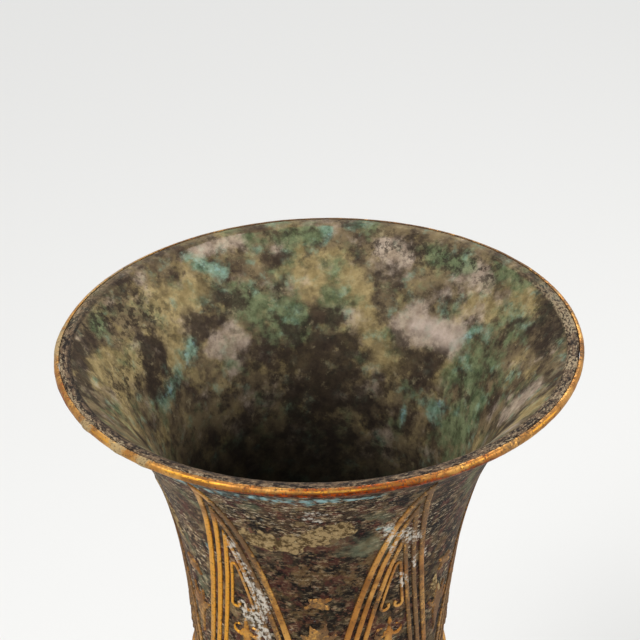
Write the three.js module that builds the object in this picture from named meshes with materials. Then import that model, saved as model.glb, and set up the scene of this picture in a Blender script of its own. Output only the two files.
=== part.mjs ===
// A bronze beaker vase with a trumpet mouth, made in soldered sections: a flared neck with a bright
// hoop round its lip, a bulging waist drum, a let-in floor, a spreading foot and a standing ring.
// Bright wires and small plates are laid on the neck and the foot as upright and pendent blades.
// Millimetres, +Z up, the origin at the centre of the standing face. The front faces -Y, and
// angles run from the front towards +X.

import * as THREE from "three";

// Mouth
const MOUTH_RADIUS = 75.2; // over the hoop
const HOOP_HEIGHT = 2.6;
const HOOP_THICKNESS = 1.3;
const LIP_LAND = 2.8; // flat top of the lip inside the hoop
const MOUTH_TILT = THREE.MathUtils.degToRad(1.45); // the mouth is out of level, high towards +X

// Neck
const NECK_HEIGHT = 124;
const NECK_THROAT_RADIUS = 36; // the outside radius that the flare runs down to
const NECK_FLARE_LENGTH = 31; // the depth over which the flare falls to 1/e

// Waist drum
const WAIST_HEIGHT = 44;
const WAIST_BULGE = 3.6;
const COLLAR_HEIGHT = 4;
const COLLAR_THICKNESS = 1.8;
const FLOOR_THICKNESS = 2.4;

// Foot
const FOOT_HEIGHT = 88;
const FOOT_RADIUS = 50.5; // over the standing ring
const FOOT_FLARE_LENGTH = 24;
const FOOT_RING_HEIGHT = 10;
const FOOT_RING_LEDGE = 2; // how far the ring stands out past the skirt

// Walls and seats
const WALL = 2.8;
const SPIGOT_WALL = 1.2;
const SPIGOT_LENGTH = 8;
const RING_SPIGOT_LENGTH = 5;
const SEAT_GAP = 0.3; // solder gap in every seat

// Blades on the neck, from a tip below the lip down to a ring above the neck's base
const BLADE_COUNT = 6;
const BLADE_TIP_DEPTH = 15.5;
const BLADE_BASE_CLEARANCE = 1; // between the feet of neighbouring blades
const BLADE_STRAY = THREE.MathUtils.degToRad(5.2); // the most that a hand-laid tip leans sideways
const BLADE_STRAY_TURN = 2.95; // radians of the stray's sine from one blade to the next
const CHEVRON_TIP_STEP = 11.5; // from tip to tip of nested chevrons
const CHEVRON_FOOT_STEP = 3; // across the feet of nested chevrons
const CHEVRON_WIDTHS = { outer: 1.9, middle: 1.6, inner: 1.4 };
const WIRE_HEIGHT = 0.5;
const WIRE_CHAMFER = 0.18; // share of its width by which a wire's top edges are drawn in
const NECK_FRIEZE_HEIGHT = 18; // from the neck's base up to the ring
const NECK_RING_HEIGHT = 2;
const NECK_RING_THICKNESS = 0.9;

// Hooked scroll inside each blade
const SCROLL_TIP_DEPTH = 12; // below the inner chevron's tip
const SCROLL_WIDTH = 0.9;
const SCROLL_ARCH_RADIUS = 0.9;
const SCROLL_LEG = 15.5;
const SCROLL_CLEARANCE = 0.75; // between the scroll's legs and the inner chevron
const HOOK_GAP = 1.1; // between the two hooks
const HOOK_TURN = THREE.MathUtils.degToRad(225);

// Lobed crest below each scroll, and the drop between two blades
const PLATE_POINT_WIDTH = 0.9; // blunt width of a plate's points
const CREST_TOP_GAP = 2.6;
const CREST_FOOT_GAP = 1.5;
const CREST_HALF_WIDTH = 4.6;
const CREST_LOBES = 2; // waves of its outline from point to point
const CREST_LOBE_DEPTH = 0.38; // share of the width drawn in and let out between lobes
const CREST_POINTING = 0.6; // how slowly the ends run out to points
const DROP_FOOT_GAP = 17.5;
const DROP_HEIGHT = 30;
const DROP_HALF_WIDTH = 3.6;
const DROP_SAG = 1.6; // carries the fullest place downwards

// Pendent blades on the foot, measured up from the standing ring and down from the shoulder
const FOOT_BLADE_TIP_HEIGHT = 6;
const FOOT_BLADE_BASE_DEPTH = 8;
const FOOT_CHEVRON_TIP_STEP = 11;
const FOOT_CHEVRON_FOOT_STEP = 3.2;
const FOOT_CHEVRON_WIDTHS = { outer: 1.7, inner: 1.4 };

// How finely curves are cut
const ROUND_SEGMENTS = 48;
const WALL_STEPS = 11;
const WALL_STEP_GROWTH = 1.5; // rings crowd towards the flared edge
const BULGE_STEPS = 6;
const HALF_ROUND_STEPS = 4;
const CHEVRON_STEPS = 7;
const SCROLL_STEPS = 24;
const PLATE_STEPS = 10;
const PLATE_SPANS = 2;

// Levels and fits that follow from the sizes above
const waistBase = FOOT_HEIGHT + SEAT_GAP;
const waistTop = waistBase + WAIST_HEIGHT;
const neckBase = waistTop + SEAT_GAP;
const lipTop = neckBase + NECK_HEIGHT;
const lipRadius = MOUTH_RADIUS - HOOP_THICKNESS - SEAT_GAP;
const bladePitch = (2 * Math.PI) / BLADE_COUNT;

const neckOutside = flaredWall(NECK_THROAT_RADIUS, MOUTH_RADIUS, lipTop, NECK_FLARE_LENGTH);
const neckInside = flaredWall(
  NECK_THROAT_RADIUS - WALL, lipRadius - LIP_LAND, lipTop, NECK_FLARE_LENGTH);

const jointRadius = neckOutside.radius(neckBase);
const spigotInside = neckInside.radius(neckBase);
const spigotOutside = spigotInside + SPIGOT_WALL;
const socketRadius = spigotOutside + SEAT_GAP;
const socketDepth = SPIGOT_LENGTH + SEAT_GAP;

const skirtBase = FOOT_RING_HEIGHT + SEAT_GAP;
const skirtRadius = FOOT_RADIUS - FOOT_RING_LEDGE;
const footOutside = flaredWallThrough(jointRadius, skirtRadius);
const footInside = flaredWallThrough(spigotInside, skirtRadius - WALL);
const ringSpigotOutside = skirtRadius - WALL + SPIGOT_WALL;

// Finishes
const patinatedBronze = { color: 0x4a4238, roughness: 0.62, metalness: 0.55 };
const brightBronze = { color: 0xc48a3c, roughness: 0.38, metalness: 0.9 };

const vessel = new THREE.Group();

// A flared wall: a throat radius plus a flare that dies away exponentially from its edge.
function flaredWall(throat, edgeRadius, edgeZ, length) {
  const flare = (z) => (edgeRadius - throat) * Math.exp(-Math.abs(z - edgeZ) / length);
  return {
    radius: (z) => throat + flare(z),
    slope: (z) => (Math.sign(edgeZ - z) * flare(z)) / length,
  };
}

// The foot's wall, whose throat is chosen so that it meets the shoulder at the given radius.
function flaredWallThrough(shoulderRadius, edgeRadius) {
  const left = Math.exp(-(FOOT_HEIGHT - skirtBase) / FOOT_FLARE_LENGTH);
  const throat = (shoulderRadius - edgeRadius * left) / (1 - left);
  return flaredWall(throat, edgeRadius, skirtBase, FOOT_FLARE_LENGTH);
}

// The point of a wall at an angle and a level, lifted off it along its outward normal.
function pointOnWall(wall, angle, z, lift) {
  const slope = wall.slope(z);
  const normalLength = Math.hypot(1, slope);
  const radius = wall.radius(z) + lift / normalLength;
  const level = z - (lift * slope) / normalLength;
  return new THREE.Vector3(radius * Math.sin(angle), -radius * Math.cos(angle), level);
}

// Points down or up a wall from its flared edge, crowded where the flare is tight.
function wallProfile(wall, edgeZ, farZ) {
  const profile = [];
  for (let step = 0; step <= WALL_STEPS; step++) {
    const z = edgeZ + (farZ - edgeZ) * (step / WALL_STEPS) ** WALL_STEP_GROWTH;
    profile.push([wall.radius(z), z]);
  }
  return profile;
}

// A swell of the given height between two levels, on top of a plain radius.
function bulgeProfile(radius, swell, fromZ, toZ) {
  const profile = [];
  for (let step = 0; step <= BULGE_STEPS; step++) {
    const share = step / BULGE_STEPS;
    profile.push([radius + swell * Math.sin(Math.PI * share), fromZ + (toZ - fromZ) * share]);
  }
  return profile;
}

// A solid of revolution from radius and level pairs, listed anticlockwise.
function turned(profile) {
  const points = profile.map(([radius, z]) => new THREE.Vector2(radius, z));
  return new THREE.LatheGeometry(points, ROUND_SEGMENTS).rotateX(Math.PI / 2);
}

// A ring of revolution, whose profile closes on itself.
function turnedRing(profile) {
  return turned([...profile, profile[0]]);
}

// A half-round ring: flat inside, swelling outwards by its thickness.
function halfRoundRing(insideRadius, thickness, centreZ, height) {
  const profile = [];
  for (let step = 0; step <= HALF_ROUND_STEPS; step++) {
    const turn = Math.PI * (step / HALF_ROUND_STEPS - 0.5);
    profile.push([insideRadius + thickness * Math.cos(turn), centreZ + (height / 2) * Math.sin(turn)]);
  }
  return turnedRing(profile);
}

// A closed solid through rings of equally many points, capped at both ends.
function lofted(rings) {
  const sides = rings[0].length;
  const last = (rings.length - 1) * sides;
  const triangles = [];
  for (let start = 0; start < last; start += sides) {
    for (let side = 0; side < sides; side++) {
      const here = start + side;
      const next = start + ((side + 1) % sides);
      triangles.push(here, next, here + sides, next, next + sides, here + sides);
    }
  }
  for (let side = 1; side + 1 < sides; side++) {
    triangles.push(0, side + 1, side);
    triangles.push(last, last + side, last + side + 1);
  }
  const geometry = new THREE.BufferGeometry().setFromPoints(rings.flat());
  geometry.setIndex(triangles);
  geometry.computeVertexNormals();
  return geometry;
}

// A bar lying on a wall between a left and a right edge, as seen along its run from outside. Each
// edge point is an angle from the bar's centre line and a level, and the centre line gives an angle
// for each level. A wide bar bends round the wall in several spans.
function barOnWall(wall, centre, edges, spans = 1) {
  const across = ([left, right], inset, lift) => {
    const points = [];
    for (let span = 0; span <= spans; span++) {
      const share = THREE.MathUtils.lerp(inset, 1 - inset, span / spans);
      const angle = THREE.MathUtils.lerp(left.angle, right.angle, share);
      const z = THREE.MathUtils.lerp(left.z, right.z, share);
      points.push(pointOnWall(wall, centre(z) + angle, z, lift));
    }
    return points;
  };
  const rings = edges.map((pair) => [
    ...across(pair, WIRE_CHAMFER, SEAT_GAP + WIRE_HEIGHT),
    ...across(pair, 0, SEAT_GAP).reverse(),
  ]);
  return lofted(rings);
}

// The two edges of a pointed chevron: legs that leave the centre line at the tip and spread by an
// angle for each millimetre, with half the wire's width on either side.
function chevronEdges(wall, tipZ, baseZ, spread, width) {
  const towardsBase = Math.sign(baseZ - tipZ);
  const edgeAngle = (z, offset) => spread * (z - tipZ) * towardsBase + offset / wall.radius(z);
  const edgeTip = (offset) => tipZ - (towardsBase * offset) / (spread * wall.radius(tipZ));
  const edgePoint = (step, offset) => {
    const share = Math.abs(step) / CHEVRON_STEPS;
    const z = THREE.MathUtils.lerp(edgeTip(offset), baseZ, share);
    return { angle: Math.sign(step) * edgeAngle(z, offset), z };
  };
  const edges = [];
  for (let step = -CHEVRON_STEPS; step <= CHEVRON_STEPS; step++) {
    const pair = [edgePoint(step, width / 2), edgePoint(step, -width / 2)];
    edges.push(towardsBase < 0 ? pair : pair.reverse());
  }
  return edges;
}

// The chevrons of one blade. Their tips step along the wall and their feet step across it, inwards from
// the place beside the neighbouring blade, and each spreads by its own angle for each millimetre.
function nestedChevrons(wall, tipZ, baseZ, tipStep, footStep, widths) {
  const outerRoom = (widths.outer + BLADE_BASE_CLEARANCE) / 2;
  return Object.entries(widths).map(([place, width], nest) => {
    const tip = tipZ + Math.sign(baseZ - tipZ) * tipStep * nest;
    const halfAngle = bladePitch / 2 - (outerRoom + footStep * nest) / wall.radius(baseZ);
    return { place, width, tip, spread: halfAngle / Math.abs(baseZ - tip) };
  });
}

// A narrow arch whose two legs end in hooks turned inwards, as edges about its middle line. The legs'
// feet stand the given half spread from the centre line.
function scrollEdges(wall, topZ, halfSpread, hookRadius) {
  const hookX = halfSpread - hookRadius;
  const line = new THREE.Path();
  line.absarc(-hookX, -SCROLL_LEG, hookRadius, Math.PI + HOOK_TURN, Math.PI, true);
  line.absarc(0, 0, SCROLL_ARCH_RADIUS, Math.PI, 0, true);
  line.absarc(hookX, -SCROLL_LEG, hookRadius, 0, -HOOK_TURN, true);
  const toWall = (x, y) => ({ angle: x / wall.radius(topZ + y), z: topZ + y });
  const edges = [];
  for (let step = 0; step <= SCROLL_STEPS; step++) {
    const at = line.getPointAt(step / SCROLL_STEPS);
    const along = line.getTangentAt(step / SCROLL_STEPS).multiplyScalar(SCROLL_WIDTH / 2);
    edges.push([toWall(at.x - along.y, at.y + along.x), toWall(at.x + along.y, at.y - along.x)]);
  }
  return edges;
}

// The edges of a plate that hangs down a wall, its half width a function of the share of its height.
function plateEdges(wall, topZ, height, halfWidth) {
  const edges = [];
  for (let step = 0; step <= PLATE_STEPS; step++) {
    const z = topZ - (height * step) / PLATE_STEPS;
    const angle = Math.max(halfWidth(step / PLATE_STEPS), PLATE_POINT_WIDTH / 2) / wall.radius(z);
    edges.push([{ angle, z }, { angle: -angle, z }]);
  }
  return edges;
}

// Lobes one above another between two points, the middle one the widest.
function crestHalfWidth(share) {
  const envelope = Math.sin(Math.PI * share) ** CREST_POINTING;
  const lobes = 1 - CREST_LOBE_DEPTH + CREST_LOBE_DEPTH * Math.cos(2 * Math.PI * CREST_LOBES * share);
  return CREST_HALF_WIDTH * envelope * lobes;
}

// A drop, pointed above and full below.
function dropHalfWidth(share) {
  return DROP_HALF_WIDTH * Math.sin(Math.PI * share ** DROP_SAG);
}

// Shears the mouth out of level: each point of the neck rises with its x, fully at the lip and not
// at all at the neck's base.
function tiltMouth(geometry) {
  const place = geometry.getAttribute("position");
  for (let index = 0; index < place.count; index++) {
    const share = THREE.MathUtils.smoothstep(place.getZ(index), neckBase, lipTop);
    place.setZ(index, place.getZ(index) + place.getX(index) * Math.tan(MOUTH_TILT) * share);
  }
  geometry.computeVertexNormals();
  return geometry;
}

function addPiece(name, geometry, finish) {
  const piece = new THREE.Mesh(geometry, new THREE.MeshStandardMaterial(finish));
  piece.name = name;
  vessel.add(piece);
}

function addNeckPiece(name, geometry, finish) {
  addPiece(name, tiltMouth(geometry), finish);
}

// The trumpet neck, with its square lip above and a spigot below that drops into the waist drum.
function neckShell() {
  const lipUnderside = lipTop - HOOP_HEIGHT;
  return turnedRing([
    [spigotOutside, neckBase - SPIGOT_LENGTH],
    [spigotOutside, neckBase],
    ...wallProfile(neckOutside, lipUnderside, neckBase).reverse(),
    [lipRadius, lipUnderside],
    [lipRadius, lipTop],
    ...wallProfile(neckInside, lipTop, neckBase),
    [spigotInside, neckBase - SPIGOT_LENGTH],
  ]);
}

// The waist drum: plain lands under the two collars, a swelling wall and a socket at either end.
function waistDrum() {
  const land = COLLAR_HEIGHT / 2 + SEAT_GAP;
  const innerSwell = WAIST_BULGE - WALL + (jointRadius - socketRadius);
  return turnedRing([
    [jointRadius, waistBase],
    ...bulgeProfile(jointRadius, WAIST_BULGE, waistBase + land, waistTop - land),
    [jointRadius, waistTop],
    [socketRadius, waistTop],
    ...bulgeProfile(socketRadius, innerSwell, waistTop - socketDepth, waistBase + socketDepth),
    [socketRadius, waistBase],
  ]);
}

// The floor, a disc lying on the foot's spigot inside the drum.
function vesselFloor() {
  const underside = FOOT_HEIGHT + SPIGOT_LENGTH + SEAT_GAP;
  const radius = socketRadius - SEAT_GAP;
  return turned([
    [0, underside],
    [radius, underside],
    [radius, underside + FLOOR_THICKNESS],
    [0, underside + FLOOR_THICKNESS],
  ]);
}

// The spreading foot, with a spigot up into the drum and another down into the standing ring.
function footSkirt() {
  return turnedRing([
    [ringSpigotOutside, skirtBase - RING_SPIGOT_LENGTH],
    [ringSpigotOutside, skirtBase],
    ...wallProfile(footOutside, skirtBase, FOOT_HEIGHT),
    [spigotOutside, FOOT_HEIGHT],
    [spigotOutside, FOOT_HEIGHT + SPIGOT_LENGTH],
    [spigotInside, FOOT_HEIGHT + SPIGOT_LENGTH],
    ...wallProfile(footInside, skirtBase, FOOT_HEIGHT).reverse(),
    [skirtRadius - WALL, skirtBase - RING_SPIGOT_LENGTH],
  ]);
}

// The upright ring that the vessel stands on.
function footRing() {
  const insideRadius = ringSpigotOutside + SEAT_GAP;
  return turnedRing([
    [insideRadius, 0],
    [FOOT_RADIUS, 0],
    [FOOT_RADIUS, FOOT_RING_HEIGHT],
    [insideRadius, FOOT_RING_HEIGHT],
  ]);
}

addNeckPiece("neck_shell", neckShell(), patinatedBronze);

const hoopInside = lipRadius + SEAT_GAP;
const hoopCentre = lipTop - HOOP_HEIGHT / 2;
addNeckPiece(
  "rim_hoop", halfRoundRing(hoopInside, HOOP_THICKNESS, hoopCentre, HOOP_HEIGHT), brightBronze);

const neckRingZ = neckBase + NECK_FRIEZE_HEIGHT;
const neckRingInside = neckOutside.radius(neckRingZ + NECK_RING_HEIGHT / 2) + SEAT_GAP;
addNeckPiece(
  "neck_ring",
  halfRoundRing(neckRingInside, NECK_RING_THICKNESS, neckRingZ, NECK_RING_HEIGHT),
  brightBronze);

addPiece("waist_drum", waistDrum(), patinatedBronze);
addPiece("vessel_floor", vesselFloor(), patinatedBronze);
addPiece("foot_skirt", footSkirt(), patinatedBronze);
addPiece("foot_ring", footRing(), patinatedBronze);

const collarInside = jointRadius + SEAT_GAP;
for (const [name, seam] of [["upper_collar", waistTop], ["lower_collar", waistBase]]) {
  const collar = halfRoundRing(collarInside, COLLAR_THICKNESS, seam, COLLAR_HEIGHT);
  addPiece(name, collar, patinatedBronze);
}

const bladeTip = lipTop - BLADE_TIP_DEPTH;
const neckRingTop = neckRingZ + NECK_RING_HEIGHT / 2;
const bladeBase = neckRingTop + SEAT_GAP;
const neckChevrons = nestedChevrons(
  neckOutside, bladeTip, bladeBase, CHEVRON_TIP_STEP, CHEVRON_FOOT_STEP, CHEVRON_WIDTHS);

const innermost = neckChevrons.at(-1);
const scrollTop = innermost.tip - SCROLL_TIP_DEPTH;
const hookZ = scrollTop - SCROLL_LEG;
const innerHalfRoom =
  innermost.spread * (innermost.tip - hookZ) * neckOutside.radius(hookZ) - innermost.width / 2;
const scrollHalfSpread = innerHalfRoom - SCROLL_CLEARANCE - SCROLL_WIDTH / 2;
const hookRadius = (scrollHalfSpread - SCROLL_WIDTH / 2 - HOOK_GAP / 2) / 2;

const crestTop = hookZ - hookRadius - SCROLL_WIDTH / 2 - CREST_TOP_GAP;
const crestHeight = crestTop - neckRingTop - CREST_FOOT_GAP;
const dropTop = neckRingTop + DROP_FOOT_GAP + DROP_HEIGHT;

const footTip = skirtBase + FOOT_BLADE_TIP_HEIGHT;
const footBase = FOOT_HEIGHT - FOOT_BLADE_BASE_DEPTH;
const footChevrons = nestedChevrons(
  footOutside, footTip, footBase, FOOT_CHEVRON_TIP_STEP, FOOT_CHEVRON_FOOT_STEP, FOOT_CHEVRON_WIDTHS);

for (let blade = 1; blade <= BLADE_COUNT; blade++) {
  const gapAngle = (blade - 1) * bladePitch;
  const bladeAngle = gapAngle + bladePitch / 2;
  const stray = BLADE_STRAY * Math.sin(BLADE_STRAY_TURN * blade);
  const upright = () => bladeAngle;
  const leaning = (z) => bladeAngle + (stray * (z - bladeBase)) / (bladeTip - bladeBase);
  for (const { place, width, tip, spread } of neckChevrons) {
    const edges = chevronEdges(neckOutside, tip, bladeBase, spread, width);
    addNeckPiece(
      `blade_${blade}_${place}_wire`, barOnWall(neckOutside, leaning, edges), brightBronze);
  }
  const scroll = scrollEdges(neckOutside, scrollTop, scrollHalfSpread, hookRadius);
  addNeckPiece(
    `blade_${blade}_scroll_wire`, barOnWall(neckOutside, leaning, scroll), brightBronze);
  const crest = plateEdges(neckOutside, crestTop, crestHeight, crestHalfWidth);
  addNeckPiece(
    `blade_${blade}_crest`, barOnWall(neckOutside, leaning, crest, PLATE_SPANS), brightBronze);
  const drop = plateEdges(neckOutside, dropTop, DROP_HEIGHT, dropHalfWidth);
  addNeckPiece(
    `gap_${blade}_drop`, barOnWall(neckOutside, () => gapAngle, drop, PLATE_SPANS), brightBronze);
  for (const { place, width, tip, spread } of footChevrons) {
    const edges = chevronEdges(footOutside, tip, footBase, spread, width);
    addPiece(
      `foot_blade_${blade}_${place}_wire`, barOnWall(footOutside, upright, edges), brightBronze);
  }
}

export default vessel;
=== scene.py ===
# %% [markdown]
# A bronze beaker vase with a trumpet mouth. The solids of its 57 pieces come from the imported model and
# stay where they are. Each cell below makes one piece or one finish anew, fine enough to be looked at from
# close by, and sets it in the place of the plain solid.

# %% Load the solids
import math

import bpy
import mathutils
import numpy as np
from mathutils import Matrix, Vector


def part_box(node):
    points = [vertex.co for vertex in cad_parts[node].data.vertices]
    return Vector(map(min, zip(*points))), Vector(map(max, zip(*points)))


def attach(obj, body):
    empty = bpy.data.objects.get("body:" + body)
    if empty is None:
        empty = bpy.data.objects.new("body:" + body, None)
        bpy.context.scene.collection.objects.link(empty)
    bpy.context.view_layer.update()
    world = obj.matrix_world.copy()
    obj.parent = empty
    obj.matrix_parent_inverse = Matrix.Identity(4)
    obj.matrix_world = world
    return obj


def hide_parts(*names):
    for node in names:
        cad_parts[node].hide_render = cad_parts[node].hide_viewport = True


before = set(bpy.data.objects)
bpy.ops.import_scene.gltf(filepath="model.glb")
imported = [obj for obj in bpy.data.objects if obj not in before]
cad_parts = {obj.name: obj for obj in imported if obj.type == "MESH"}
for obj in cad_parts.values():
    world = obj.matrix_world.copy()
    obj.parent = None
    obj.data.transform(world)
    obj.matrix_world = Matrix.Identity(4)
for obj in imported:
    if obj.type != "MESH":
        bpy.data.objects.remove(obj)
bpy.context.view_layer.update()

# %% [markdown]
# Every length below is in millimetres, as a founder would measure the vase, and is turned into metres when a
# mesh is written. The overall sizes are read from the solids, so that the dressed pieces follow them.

MM = 0.001


def lowest(node):
    """The lowest corner of a solid's box, in millimetres."""
    return np.array(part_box(node)[0]) / MM


def highest(node):
    """The highest corner of a solid's box, in millimetres."""
    return np.array(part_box(node)[1]) / MM


SEAT_GAP = 0.3
HOOP_HEIGHT = 2.6
mouth_radius = highest("rim_hoop")[0]
lip_top = (lowest("rim_hoop")[2] + highest("rim_hoop")[2] + HOOP_HEIGHT) / 2
waist_low = lowest("waist_drum")[2]
waist_top = highest("waist_drum")[2]
neck_base = waist_top + SEAT_GAP
shoulder = waist_low - SEAT_GAP
foot_radius = highest("foot_ring")[0]
ring_height = highest("foot_ring")[2]
print(f"lip at {lip_top:.1f} mm, mouth radius {mouth_radius:.1f} mm, waist from {waist_low:.1f} mm")

# %% [markdown]
# The neck is a trumpet: its radius is the throat's, plus a flare that dies away with the depth below the
# lip. The mouth of the real vase is a little out of level, so every point of the neck is sheared upwards
# with its x, fully at the lip and not at all at the neck's base. Angles run from the front, which faces -Y,
# towards +X.

# %% The shape of the neck's walls
THROAT_RADIUS = 36.0
FLARE_LENGTH = 31.0
WALL = 2.8
LIP_LAND = 2.8
HOOP_THICKNESS = 1.3
MOUTH_TILT = math.radians(1.45)
lip_radius = mouth_radius - HOOP_THICKNESS - SEAT_GAP


def smoothstep(value, low, high):
    """0 below low, 1 above high, and 3t^2 - 2t^3 between them."""
    share = np.clip((value - low) / (high - low), 0, 1)
    return share * share * (3 - 2 * share)


def neck_outside(z):
    """Throat radius plus the flare times e to the minus depth over flare length."""
    return THROAT_RADIUS + (mouth_radius - THROAT_RADIUS) * np.exp((z - lip_top) / FLARE_LENGTH)


def neck_inside(z):
    """The same curve for the inner wall, from the inner edge of the lip's land."""
    throat = THROAT_RADIUS - WALL
    return throat + (lip_radius - LIP_LAND - throat) * np.exp((z - lip_top) / FLARE_LENGTH)


def out_of_level(points):
    """Raises each point by x times the tilt's tangent times its smooth share of the neck's height."""
    sheared = points.copy()
    share = smoothstep(points[..., 2], neck_base, lip_top)
    sheared[..., 2] += points[..., 0] * math.tan(MOUTH_TILT) * share
    return sheared


joint_radius = neck_outside(neck_base)
spigot_inside = neck_inside(neck_base)
print(f"the neck is {joint_radius:.2f} mm in radius at its base")

# %% [markdown]
# The camera stands where the photographer stood: in front of the mouth, 31 degrees above its plane, with a
# long lens that shows only the mouth and the upper neck.

# %% Camera
CAMERA_DISTANCE = 800.0
CAMERA_ELEVATION = math.radians(31.03)
CAMERA_LENS = 158.64
CAMERA_SENSOR = 36.0
AIM_ABOVE_MOUTH = 6.48
AIM_BESIDE_MOUTH = 0.3

mouth_centre = np.array([0.0, 0.0, lip_top])
towards_camera = np.array([0.0, -math.cos(CAMERA_ELEVATION), math.sin(CAMERA_ELEVATION)])
camera_up = np.array([0.0, math.sin(CAMERA_ELEVATION), math.cos(CAMERA_ELEVATION)])
aim_offset = AIM_ABOVE_MOUTH * camera_up + np.array([AIM_BESIDE_MOUTH, 0.0, 0.0])

camera = bpy.data.objects.new("camera", bpy.data.cameras.new("camera"))
camera.data.lens = CAMERA_LENS
camera.data.sensor_width = CAMERA_SENSOR
camera.location = (mouth_centre + CAMERA_DISTANCE * towards_camera) * MM
line_of_sight = mathutils.Vector(aim_offset - CAMERA_DISTANCE * towards_camera)
camera.rotation_euler = line_of_sight.to_track_quat("-Z", "Y").to_euler()
bpy.context.scene.collection.objects.link(camera)
bpy.context.scene.camera = camera
print("camera at", [round(value, 3) for value in camera.location])

# %% [markdown]
# Old bronze is never quite even: the wall has slow dents from the mould, fine wear from handling and patches
# of corrosion. A seeded value noise gives all three. Each corner of a cubic lattice gets a number from an
# integer hash, the numbers are blended smoothly inside each cube, and finer layers are added at half the
# weight.

# %% Seeded noise on points in space
HASH_STEPS = (374761393, 668265263, 2246822519, 3266489917)


def lattice_value(corner, seed):
    """A number from 0 to 1 for each whole-numbered corner, from a multiply and shift hash."""
    whole = corner.astype(np.int64).astype(np.uint32)
    mixed = np.full(corner.shape[:-1], seed, np.uint32) * np.uint32(HASH_STEPS[3])
    for axis in range(3):
        mixed = mixed + whole[..., axis] * np.uint32(HASH_STEPS[axis])
    mixed = (mixed ^ (mixed >> np.uint32(13))) * np.uint32(HASH_STEPS[2])
    mixed = (mixed ^ (mixed >> np.uint32(16))) * np.uint32(HASH_STEPS[0])
    return (mixed ^ (mixed >> np.uint32(15))) / 2.0**32


def value_noise(points, size, seed):
    """The lattice values at the eight corners round a point, weighted by the smooth share on each axis."""
    scaled = points / size
    floor = np.floor(scaled)
    share = scaled - floor
    share = share * share * (3 - 2 * share)
    total = 0.0
    for corner in np.ndindex(2, 2, 2):
        weight = np.prod(np.where(corner, share, 1 - share), axis=-1)
        total = total + weight * lattice_value(floor + corner, seed)
    return total


def clouds(points, size, seed, layers=4):
    """A sum of noises, each half as large and half as strong as the last, brought back to 0 to 1."""
    total = sum(value_noise(points, size / 2**layer, seed + layer) / 2**layer for layer in range(layers))
    return total / (2 - 2.0 ** (1 - layers))


DENT_DEPTH = 0.45
DENT_SIZE = 26.0
DENT_SEED = 11


def dents(points):
    """How far the hand-finished wall stands out or in, in millimetres, from two layers of noise."""
    return DENT_DEPTH * (clouds(points, DENT_SIZE, DENT_SEED, layers=2) - 0.5)


def wear(points, *layers):
    """Millimetres out or in: the sum, over layers (depth, size, seed), of depth times noise less a half."""
    return sum(depth * (clouds(points, size, seed) - 0.5) for depth, size, seed in layers)


def blotches(points, size, seed, low, high):
    """Patches that go from 0 to 1 where a noise goes from low to high."""
    return smoothstep(clouds(points, size, seed), low, high)


print("noise at the origin:", round(float(clouds(np.zeros((1, 3)), 10.0, 1)[0]), 4))

# %% [markdown]
# Every piece here is a closed skin through rings of points: a turned piece has one ring for each point of
# its profile, and a wire has one ring for each place along its run. The skin's faces are worked out as
# index arrays, its volume tells which way they face, and measured fields such as the amount of corrosion
# are stored on its points for the finishes to read.

# %% Closed skins
SHARP_ANGLE = math.radians(50)


def skin(name, rings, loop=False, **fields):
    """A closed mesh through rings[i, j], each ring closed on itself. The rings close into a loop, or the
    first and the last are capped. The faces are turned round if the signed volume is negative."""
    count, sides = rings.shape[:2]
    index = np.arange(count * sides).reshape(count, sides)
    ahead = np.roll(index, -1, axis=0) if loop else index[1:]
    here = index if loop else index[:-1]
    quads = np.stack([here, np.roll(here, -1, 1), np.roll(ahead, -1, 1), ahead], axis=-1).reshape(-1, 4)
    caps = [] if loop else [index[0][::-1], index[-1]]
    points = rings.reshape(-1, 3)
    corner = points[quads] - points.mean(axis=0)
    volume = np.einsum("ij,ij->", corner[:, 0], np.cross(corner[:, 1], corner[:, 2]))
    volume += np.einsum("ij,ij->", corner[:, 0], np.cross(corner[:, 2], corner[:, 3]))
    turn = 1 if volume > 0 else -1
    mesh = bpy.data.meshes.new(name)
    mesh.from_pydata(points * MM, [], quads[:, ::turn].tolist() + [cap[::turn].tolist() for cap in caps])
    for field, values in fields.items():
        layer = mesh.attributes.new(field, "FLOAT", "POINT")
        layer.data.foreach_set("value", np.broadcast_to(values, (count, sides)).astype(np.float32).ravel())
    mesh.shade_smooth()
    mesh.set_sharp_from_angle(angle=SHARP_ANGLE)
    piece = bpy.data.objects.new(name, mesh)
    bpy.context.scene.collection.objects.link(piece)
    return piece


def dress(node, piece, finish):
    """Puts a finished piece in the place of a solid: on its body, with its finish."""
    piece.data.materials.append(finish)
    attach(piece, "root")
    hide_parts(node)
    return piece


print("skins and dressing are ready")

# %% [markdown]
# The walls, the hoop and the rings are turned. A founder can sweep the mould for such a shape with a board
# cut to its profile. Here the profile is spun round the axis and gives one ring of points for each of its
# own, and relief and wear then move the points along the surface's normals.

# %% Turned surfaces


def around(count):
    """Equal steps of angle round the axis."""
    return np.linspace(0, 2 * math.pi, count, endpoint=False)


def turned(radius, z, count):
    """Points of a turned surface, one ring for each profile point: x = r sin a, y = -r cos a."""
    angle = around(count)
    x = np.multiply.outer(radius, np.sin(angle))
    y = -np.multiply.outer(radius, np.cos(angle))
    return np.stack([x, y, np.broadcast_to(np.asarray(z)[:, None], x.shape)], axis=-1)


def raised(points, radius, z, lift):
    """Points of a turned surface moved along its normals by a lift. Its closed profile runs anticlockwise,
    so a normal is the profile's tangent turned right."""
    along_r = np.roll(radius, -1) - np.roll(radius, 1)
    along_z = np.roll(z, -1) - np.roll(z, 1)
    length = np.hypot(along_r, along_z)
    normal = turned(along_z / length, -along_r / length, points.shape[1])
    return points + normal * lift[..., None]


print("turned surfaces are ready")

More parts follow.
